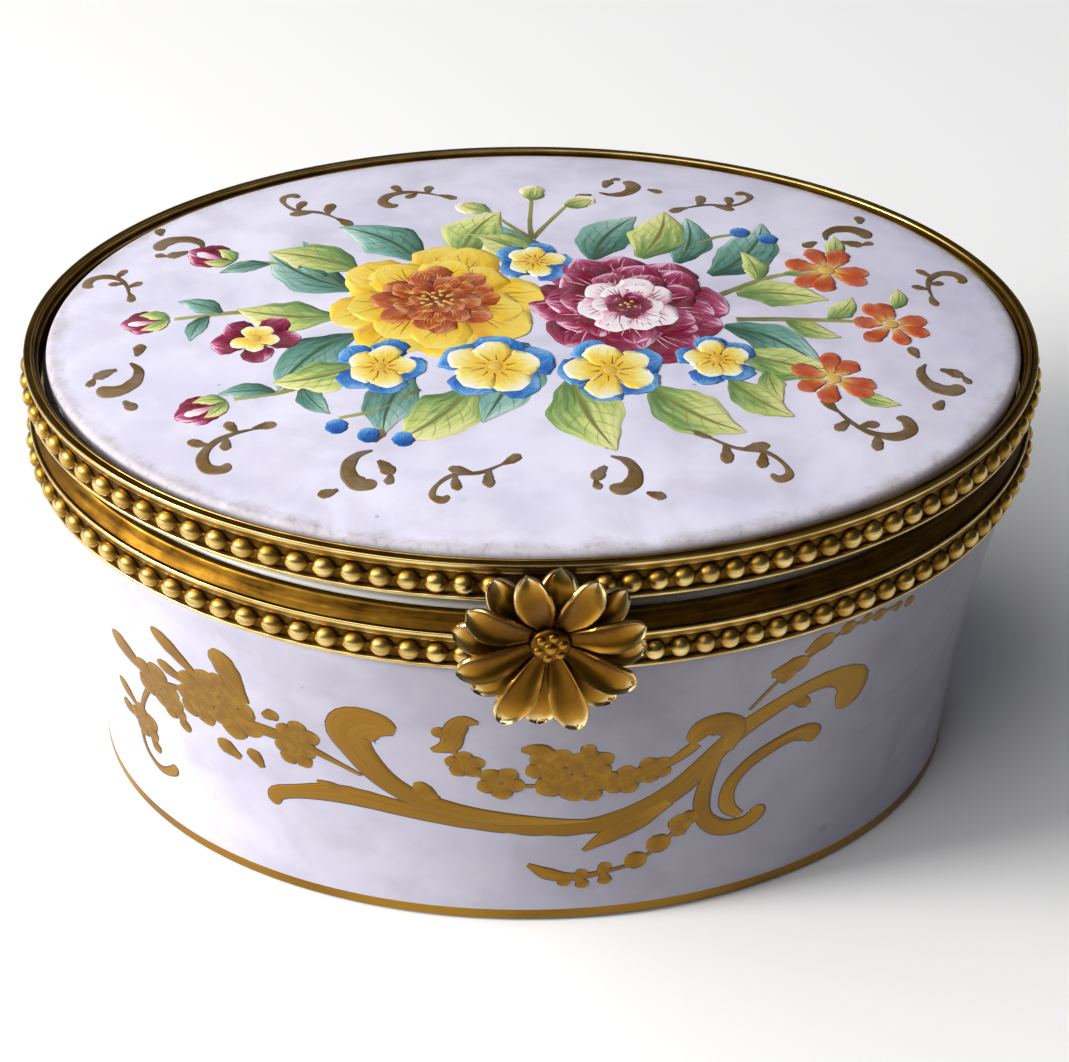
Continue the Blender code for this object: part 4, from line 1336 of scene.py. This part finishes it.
def paint_scrolls(gold):
    """The long S-scroll with its knobs, hooks and forked tails. Places are (girth, z, half width) in mm."""
    gold.stroke([
        (-11.1, 21.3, 0.5), (-12.3, 21.7, 1.5), (-13.8, 21.4, 2.2), (-14.7, 20.1, 1.95),
        (-14.1, 18.2, 1.35), (-12.6, 15.8, 1.1), (-10.3, 13.9, 1.0), (-7.2, 12.7, 0.95),
        (-3.6, 12.0, 0.75), (0.6, 11.6, 0.4), (4.2, 11.5, 0.05),
    ], 0.4)
    gold.stroke([(-8.7, 13.6, 0.9), (-9.4, 15.0, 0.75), (-9.9, 15.5, 0.3)], 0.3, round_end=True)
    gold.stroke([
        (-21.9, 9.3, 0.45), (-21.6, 10.7, 0.75), (-19.6, 11.7, 0.75), (-16.6, 12.6, 1.0),
        (-13.4, 12.6, 0.95), (-9.2, 11.9, 0.8), (-4.8, 11.2, 0.7), (0.0, 10.7, 0.75), (4.4, 10.9, 0.95),
        (8.2, 12.2, 1.15), (11.2, 14.5, 1.05), (13.2, 17.2, 0.9), (15.2, 19.6, 0.95), (17.8, 21.4, 0.95),
        (20.4, 22.6, 0.85), (22.8, 22.7, 1.05), (24.7, 21.5, 1.45), (24.9, 19.8, 1.4), (24.2, 18.2, 0.85),
    ], 0, round_start=True, round_end=True)
    gold.stroke([(-15.2, 12.9, 0.6), (-16.9, 13.4, 0.4), (-17.9, 13.6, 0.05)], 0.2)
    gold.stroke([(3.4, 8.0, 0.1), (5.2, 9.4, 0.75), (7.6, 10.8, 0.9), (10.2, 12.8, 0.5)], 0.3)
    gold.stroke([
        (13.9, 18.0, 0.4), (13.2, 15.2, 0.55), (12.9, 12.3, 0.65), (13.3, 10.0, 0.75), (14.8, 8.4, 0.85),
        (16.8, 8.1, 0.85), (18.0, 9.0, 0.8), (17.7, 9.8, 0.3),
    ], 0.3)
    gold.stroke([
        (22.2, 15.6, 0.45), (21.7, 16.8, 0.95), (20.1, 17.2, 0.75), (18.0, 16.4, 0.66), (16.2, 15.0, 0.62),
        (15.1, 13.0, 0.62), (15.2, 10.8, 0.6), (16.4, 9.3, 0.4),
    ], 0.5, round_start=True)
    gold.stroke([
        (11.2, 19.4, 0.5), (12.2, 20.9, 1.15), (13.8, 20.9, 1.25), (14.8, 19.6, 0.95), (14.3, 17.6, 0.5),
    ], 0.6, round_start=True)
    gold.stroke([(19.6, 21.8, 0.5), (20.4, 20.9, 0.5), (20.9, 20.4, 0.2)], 0.2)


def paint_garlands(gold, dark):
    """Garland of blossoms over the scroll, the leaf chain at its right and the small chain under it."""
    gold.stroke([
        (-4.8, 23.3, 0.1), (-6.0, 23.3, 0.7), (-6.7, 21.9, 0.85), (-7.0, 20.4, 0.8), (-8.4, 19.6, 0.15),
    ], 0.2)
    gold.stroke(petal_places(-7.0, 21.4, 150, 0, 1.5, 0.6), 0.2, round_end=True)
    for s, z, size, turn in (
        (-5.9, 18.2, 0.8, 20), (-3.2, 16.2, 0.98, 60), (6.3, 16.0, 0.88, 10), (8.5, 16.9, 0.8, 45),
        (2.0, 16.8, 1.5, 0), (3.6, 18.2, 1.0, 30), (0.7, 18.2, 1.1, 60), (3.4, 15.6, 0.95, 10),
    ):
        draw_blossom(gold, s, z, size, turn)
    draw_dots(dark, [(1.7, 18.0, 0.16), (2.2, 17.2, 0.13), (3.2, 16.9, 0.13), (-3.1, 16.2, 0.13)], 2.4)
    gold.stroke([(-1.7, 20.2, 0.15), (-0.4, 20.1, 0.8), (0.8, 19.0, 0.8)], 0.3)
    gold.stroke(petal_places(2.9, 19.2, 60, 0, 1.6, 0.6), 0.3, round_end=True)
    gold.stroke([
        (-6.9, 20.0, 0.16), (-5.4, 17.6, 0.16), (-3.2, 16.2, 0.14), (-0.8, 15.9, 0.12), (1.6, 16.2, 0.14),
    ], 0.1)
    gold.stroke([
        (3.6, 15.9, 0.16), (6.3, 15.9, 0.18), (8.5, 16.8, 0.24), (10.2, 17.7, 0.45), (11.8, 19.2, 0.5),
    ], 0.1)
    for s, z, angle, length in ((18.0, 25.8, 12, 3.1), (20.6, 27.2, 35, 2.5), (18.6, 25.6, -20, 1.6)):
        gold.stroke(petal_places(s - 1.2, z - 0.2, angle, 0, length, 0.98), 0.2, round_end=True)
    gold.stroke([
        (15.6, 21.9, 0.06), (18.0, 25.2, 0.11), (20.4, 27.0, 0.11), (22.6, 28.4, 0.1), (27.0, 28.6, 0.08),
    ], 0)
    draw_dots(gold, [
        (22.6, 28.5, 0.7), (24.2, 28.7, 0.5), (25.4, 28.5, 0.6), (27.2, 28.4, 0.45), (28.4, 28.2, 0.5),
    ], 0.2)
    gold.stroke([
        (-1.0, 6.6, 0.12), (0.6, 5.5, 0.6), (2.6, 5.0, 0.42), (5.2, 5.3, 0.16), (7.8, 6.1, 0.14),
        (9.6, 7.6, 0.14), (11.4, 9.5, 0.18), (13.0, 11.0, 0.24),
    ], 0)
    for s, z, angle in ((1.6, 5.2, -60), (2.8, 4.8, 40), (3.2, 4.9, -70), (4.8, 5.3, 50), (5.2, 5.2, -80)):
        gold.stroke(petal_places(s, z, angle, 0, 1.35, 0.55), 0.2, round_end=True)
    draw_dots(gold, [(7.8, 6.3, 0.95), (9.6, 7.9, 1.05), (11.3, 9.7, 0.95), (12.0, 10.4, 0.8)], 0.3)
    gold.stroke(petal_places(11.4, 8.4, 95, 0, 2.6, 1.0), 0.2, round_end=True)


def paint_sprig(gold, dark):
    """Flower sprig at the left of the scroll."""
    for s, z, size, turn in (
        (-26.6, 19.4, 1.6, 15), (-24.6, 18.2, 1.35, 50), (-28.0, 17.8, 1.1, 80), (-25.2, 20.8, 1.0, 30),
        (-32.6, 17.4, 1.3, 0), (-31.2, 15.8, 0.8, 40), (-35.6, 11.0, 0.98, 30), (-19.0, 18.3, 0.95, 15),
        (-19.4, 16.4, 0.9, 90),
    ):
        draw_blossom(gold, s, z, size, turn)
    draw_dots(dark, [
        (-26.4, 18.4, 0.17), (-24.0, 19.4, 0.15), (-32.2, 17.0, 0.14), (-25.6, 20.0, 0.12),
    ], 2.4)
    for s, z, angle, length, width in (
        (-27.4, 21.2, 138, 5.2, 0.85), (-23.2, 20.4, 108, 5.8, 1.15), (-34.0, 17.8, 150, 4.2, 1.1),
        (-28.8, 19.8, 165, 3.0, 0.65), (-36.4, 12.2, 140, 2.9, 0.65), (-36.6, 11.0, 175, 2.3, 0.65),
        (-35.0, 9.8, 300, 1.7, 0.55), (-24.6, 13.4, 150, 2.4, 0.85), (-22.6, 13.2, 118, 2.1, 0.66),
        (-21.8, 19.6, 30, 1.6, 0.6), (-30.4, 15.2, 290, 1.8, 0.55),
    ):
        gold.stroke(petal_places(s, z, angle, 0, length, width), 0.2, round_end=True)
    for places in (
        [
            (-24.2, 18.0, 0.5), (-21.4, 17.9, 0.6), (-19.0, 17.6, 0.42), (-16.9, 16.8, 0.28),
            (-14.0, 15.4, 0.1),
        ],
        [(-32.7, 17.6, 0.26), (-30.4, 18.4, 0.24), (-28.0, 19.0, 0.26)],
        [
            (-33.6, 16.4, 0.2), (-35.2, 13.6, 0.2), (-36.0, 11.0, 0.24), (-36.4, 8.8, 0.18),
            (-35.8, 7.2, 0.22), (-34.3, 6.5, 0.32), (-32.7, 7.3, 0.45), (-32.3, 8.2, 0.32),
        ],
    ):
        gold.stroke(places, 0.1, round_end=True)


def build_foot_line(material):
    """Gilt line round the wall, just above the foot."""
    bottom = 0.22 * MM
    top = 1.3 * MM
    proud = 0.025 * MM
    angles = np.arange(ring_segments) * TAU / ring_segments
    levels = [(bottom, -proud)] + [(z, proud) for z in np.linspace(bottom, top, 8)] + [(top, -proud)]
    rows = []
    for z, height in levels:
        lift = 1 - min(1, z / foot_edge_radius)
        inset = foot_edge_radius * (1 - math.sqrt(1 - lift ** 2))
        half_width, half_depth = wall_half_axes(z)
        rows.append((half_width + height - inset, half_depth + height - inset, z))
    rows = np.array(rows)
    x = np.cos(angles)[:, None] * rows[:, 0]
    y = np.sin(angles)[:, None] * rows[:, 1]
    z = np.broadcast_to(rows[:, 2], x.shape)
    across = np.linspace(-1, 1, len(rows))[None, :]
    along = (np.sin(angles * 6) * 0.5 + 0.5)[:, None]
    stroke = np.stack(np.broadcast_arrays(across, along, 0.3), -1)
    add_piece(
        "foot_gold_line", np.stack([x, y, z], -1), grid_faces(ring_segments, len(rows), True, True),
        [material], "base", attributes={"stroke": stroke.reshape(-1, 3)},
    )


def build_paints():
    """Materials of the painted ornament, by brush name."""
    outline = (0.08, 0.038, 0.012)
    ochre = (0.27, 0.17, 0.03)
    dark_green = (0.05, 0.11, 0.05)
    return {
        "crimson": paint_material("enamel_crimson", [
            (0.0, (0.07, 0.001, 0.010)), (0.45, (0.16, 0.003, 0.022)), (0.76, (0.26, 0.012, 0.055)),
            (0.94, (0.48, 0.10, 0.22)), (1.0, (0.80, 0.50, 0.62)),
        ], streak=0.28, side=0.20, edge=(0.13, 0.003, 0.022), edge_width=0.13, tone=0.45),
        "pink": paint_material("enamel_pink", [
            (0.0, (0.42, 0.05, 0.14)), (0.35, (0.74, 0.34, 0.46)), (0.65, (0.90, 0.74, 0.80)),
            (1.0, (0.95, 0.92, 0.94)),
        ], streak=0.30, side=0.18, edge=(0.45, 0.08, 0.17), edge_width=0.09),
        "gold_yellow": paint_material("enamel_yellow", [
            (0.0, (0.40, 0.11, 0.005)), (0.30, (0.68, 0.32, 0.012)), (0.62, (0.84, 0.55, 0.03)),
            (1.0, (0.90, 0.72, 0.14)),
        ], streak=0.26, side=0.12, edge=ochre, edge_width=0.12),
        "russet": paint_material("enamel_russet", [
            (0.0, (0.14, 0.014, 0.002)), (0.45, (0.29, 0.035, 0.004)), (0.8, (0.46, 0.085, 0.012)),
            (1.0, (0.74, 0.32, 0.12)),
        ], streak=0.34, side=0.2, edge=(0.16, 0.02, 0.004), edge_width=0.10, tone=0.4),
        "orange": paint_material("enamel_orange", [
            (0.0, (0.80, 0.50, 0.12)), (0.3, (0.60, 0.13, 0.025)), (0.7, (0.50, 0.065, 0.016)),
            (1.0, (0.66, 0.20, 0.07)),
        ], streak=0.30, side=0.14, edge=(0.30, 0.03, 0.01), edge_width=0.08, tone=0.4),
        "blue": paint_material("enamel_blue", [
            (0.0, (0.01, 0.07, 0.30)), (0.5, (0.016, 0.12, 0.44)), (0.78, (0.05, 0.24, 0.60)),
            (1.0, (0.18, 0.42, 0.74)),
        ], streak=0.36, side=0.2, edge=(0.015, 0.07, 0.26), edge_width=0.08, tone=0.4),
        "primrose": paint_material("enamel_primrose", [
            (0.0, (0.78, 0.42, 0.02)), (0.45, (0.86, 0.62, 0.07)), (0.74, (0.90, 0.80, 0.32)),
            (1.0, (0.93, 0.92, 0.86)),
        ], streak=0.22, side=0.1, edge=(0.92, 0.90, 0.84), edge_width=0.13, tone=0.12),
        "leaf": paint_material("enamel_leaf", [
            (0.0, (0.11, 0.21, 0.06)), (0.34, (0.28, 0.42, 0.12)), (0.62, (0.58, 0.65, 0.20)),
            (1.0, (0.80, 0.80, 0.36)),
        ], streak=0.46, side=0.32, vein=(0.20, 0.21, 0.06), edge=ochre, edge_width=0.11, tone=0.3),
        "teal": paint_material("enamel_teal", [
            (0.0, (0.03, 0.09, 0.06)), (0.4, (0.11, 0.28, 0.22)), (0.8, (0.26, 0.48, 0.42)),
            (1.0, (0.50, 0.68, 0.60)),
        ], streak=0.38, side=0.26, vein=dark_green, edge=(0.07, 0.14, 0.08), edge_width=0.11, tone=0.4),
        "stem": paint_material("enamel_stem", [
            (0.0, (0.13, 0.13, 0.03)), (1.0, (0.38, 0.40, 0.12)),
        ], streak=0.3),
        "seed": paint_material("enamel_seed", [
            (0.0, (0.86, 0.62, 0.14)), (1.0, (0.62, 0.32, 0.05)),
        ], edge=(0.30, 0.12, 0.02), edge_width=0.08),
        "line": paint_material("enamel_line", [(0.0, (0.26, 0.11, 0.02)), (1.0, (0.36, 0.17, 0.03))]),
        "lid_gold": paint_material("lid_gilding", [
            (0.0, (0.15, 0.085, 0.022)), (1.0, (0.25, 0.15, 0.045)),
        ], metallic=0.3, roughness=0.42, streak=0.6, wash=0.1),
        "wall_gold": paint_material("wall_gilding", [
            (0.0, (0.33, 0.164, 0.006)), (0.5, (0.235, 0.112, 0.003)), (1.0, (0.37, 0.195, 0.009)),
        ], metallic=0.75, roughness=0.42, streak=0.35, tone=0.1, wash=0.0),
        "wall_outline": paint_material("wall_outline", [
            (0.0, outline), (1.0, outline),
        ], roughness=0.4, wash=0.0),
    }


# Stage

def build_camera():
    """Camera at the photograph's angle, from a fit of its ovals in a frame of 1069 x 1062 pixels."""
    azimuth = math.radians(-3.0)
    elevation = math.radians(38.04)
    roll = math.radians(1.149)
    distance = 258.48 * MM
    aim_right = 0.44 * MM
    aim_up = 15.24 * MM
    focal_pixels = 2958
    frame_pixels = 1069
    away = Vector((
        math.sin(azimuth) * math.cos(elevation),
        -math.cos(azimuth) * math.cos(elevation),
        math.sin(elevation),
    ))
    right = Vector((math.cos(azimuth), math.sin(azimuth), 0))
    up = away.cross(right)
    place = right * aim_right + up * aim_up + away * distance
    turned_right = math.cos(roll) * right + math.sin(roll) * up
    turned_up = math.cos(roll) * up - math.sin(roll) * right
    data = bpy.data.cameras.new("camera")
    data.sensor_width = 36
    data.lens = focal_pixels * data.sensor_width / frame_pixels
    data.clip_start = 0.01
    camera = bpy.data.objects.new("camera", data)
    bpy.context.scene.collection.objects.link(camera)
    turn = Matrix((turned_right, turned_up, away)).transposed().to_4x4()
    camera.matrix_world = Matrix.Translation(place) @ turn
    bpy.context.scene.camera = camera


def build_floor():
    """Pale floor. What it throws back on the object as diffuse light is that of a mid-grey one."""
    n = Nodes("floor_paint")
    place = n.place()
    rays = n.add("ShaderNodeLightPath").outputs
    mirrored = n.math("MAXIMUM", rays["Is Glossy Ray"], rays["Is Transmission Ray"])
    seen = n.math("MAXIMUM", rays["Is Camera Ray"], mirrored)
    pale = n.mix(n.noise(place, 3, 2), (0.95, 0.95, 0.95), (0.92, 0.92, 0.92))
    material = n.finish(Base_Color=n.mix(seen, (0.22, 0.21, 0.20), pale), Roughness=0.9)
    bpy.ops.mesh.primitive_plane_add(size=6, location=(0, 0, -0.05 * MM))
    floor = bpy.context.object
    floor.name = "floor"
    floor.data.materials.append(material)


def build_lights():
    """Soft round key lamp at the left, a broad softbox of sky behind it, and a dim sky elsewhere."""
    key_place = Vector((-0.375, -0.095, 0.215))
    key_aim = Vector((0, 0, 0.03))
    key_diameter = 0.13
    key_watts = 2.15
    softbox = Vector((-0.62, -0.22, 0.76)).normalized()
    softbox_strength = 2.1

    data = bpy.data.lights.new("key", "AREA")
    data.shape = "DISK"
    data.size = key_diameter
    data.energy = key_watts
    data.color = (1.0, 0.975, 0.94)
    key = bpy.data.objects.new("key", data)
    bpy.context.scene.collection.objects.link(key)
    key.location = key_place
    key.rotation_euler = (key_place - key_aim).to_track_quat("Z", "Y").to_euler()
    world = bpy.data.worlds.new("studio")
    bpy.context.scene.world = world
    n = Nodes("studio", world)
    direction = n.add("ShaderNodeTexCoord").outputs["Generated"]
    side = n.spread(n.split(direction)[0], -1, 1)
    sky = n.ramp(side, [(0.0, (0.30, 0.31, 0.33)), (0.5, (0.11, 0.115, 0.13)), (1.0, (0.03, 0.03, 0.034))])
    facing = n.add("ShaderNodeVectorMath", {"operation": "DOT_PRODUCT"}, {0: direction, 1: tuple(softbox)})
    patch = n.spread(facing.outputs["Value"], 0.74, 0.90, 0.0, 1.0, True)
    background = n.tree.nodes["Background"]
    n.put(background.inputs["Color"], n.mix(patch, sky, (1.0, 1.0, 1.0)))
    n.put(background.inputs["Strength"], n.spread(patch, 0.0, 1.0, 1.0, softbox_strength))


def main():
    gilding = brass_material("gilt_mount", [
        (0.04, (0.022, 0.009, 0.002)), (0.36, (0.155, 0.074, 0.007)), (0.62, (0.38, 0.220, 0.034)),
        (1.0, (0.92, 0.72, 0.30)),
    ], rough_low=0.20, rough_high=0.58, run_scale=260)
    antique = brass_material("cast_brass", [
        (0.04, (0.060, 0.022, 0.002)), (0.40, (0.26, 0.118, 0.012)), (0.68, (0.42, 0.220, 0.032)),
        (1.0, (0.95, 0.76, 0.38)),
    ], rough_low=0.17, rough_high=0.34, stain=0.05, grain=0.03)
    wire = brass_material("pin_wire", [
        (0.0, (0.16, 0.11, 0.05)), (0.5, (0.42, 0.31, 0.14)), (1.0, (0.66, 0.52, 0.28)),
    ], rough_low=0.25, rough_high=0.4, stain=0.3)
    glaze = glaze_material("glaze_lilac", (0.80, 0.785, 0.93), (0.66, 0.645, 0.80), 0.955)
    wall_glaze = glaze_material("glaze_lilac_wall", (0.76, 0.74, 0.90), (0.66, 0.645, 0.81), 0.85)
    white = white_glaze_material()
    plaster = plaster_material("old_plaster", (0.24, 0.20, 0.15), (0.48, 0.43, 0.35))
    # The lid's cement is near black: painted shade for the groove between the lid plate and its mount
    groove_shade_plaster = plaster_material("plaster_painted_groove_shade", (0.02, 0.016, 0.012), (0.07, 0.055, 0.04))

    build_mounts(gilding)
    for side, hand in ((-1, "left"), (1, "right")):
        for body, bottom in (("base", base_ring_bottom), ("lid", lid_ring_bottom)):
            node = f"{body}_bead_wire_{hand}"
            build_bead_wire(f"{body}_beads_{hand}", bottom, side, body, gilding, node)
    build_bowl(wall_glaze, white, bisque_material())
    build_plaque(glaze, white)
    build_hinge_leaf("hinge_base_leaf", -1, base_ring_bottom, (0, 2, 4), "base", gilding, "base_hinge_leaf")
    lid_leaf_top = lid_ridge_top - ridge_height
    build_hinge_leaf("hinge_lid_leaf", 1, lid_leaf_top, (1, 3), "lid", gilding, "lid_hinge_leaf")
    build_hinge_pin(wire)

    rear_back = -ridge_half_depth - seat_gap - tongue_thickness - seat_gap
    front_back = rear_back - petal_sheet - seat_gap - petal_hollow
    rear_rolls = (
        (0.5, 0.98), (0.7, 0.88), (0.7, 0.95), (0.5, 1.0), (0.2, 1.0), (0.0, 1.05), (0.2, 1.03), (0.5, 1.0),
    )
    front_rolls = (
        (0.3, 1.0), (0.4, 0.96), (0.5, 0.94), (0.4, 0.98), (0.2, 1.0), (0.0, 1.04), (0.0, 1.05), (0.3, 1.0),
    )
    build_petals(
        "rosette_rear_layer", "rosette_back_petals", antique, back=rear_back,
        phase=petal_phase + math.pi / petals, half_width=1.5 * MM, cup=1.0 * MM, rolls=rear_rolls,
    )
    build_petals(
        "rosette_front_layer", "rosette_front_petals", antique, back=front_back,
        phase=petal_phase, half_width=1.36 * MM, cup=0.95 * MM, rolls=front_rolls,
    )
    build_boss(front_back - petal_sheet, antique)

    for node, material in (
        ("clasp_tongue", antique), ("base_ring_cement", plaster), ("lid_ring_cement", groove_shade_plaster),
    ):
        solid = frame["nodes"][node]
        solid.data.materials.clear()
        solid.data.materials.append(material)

    paints = build_paints()
    paint_lid(paints)
    paint_wall(paints)
    build_foot_line(paints["wall_gold"])

    build_floor()
    build_lights()
    build_camera()
    bpy.context.scene.view_settings.view_transform = "Standard"


main()
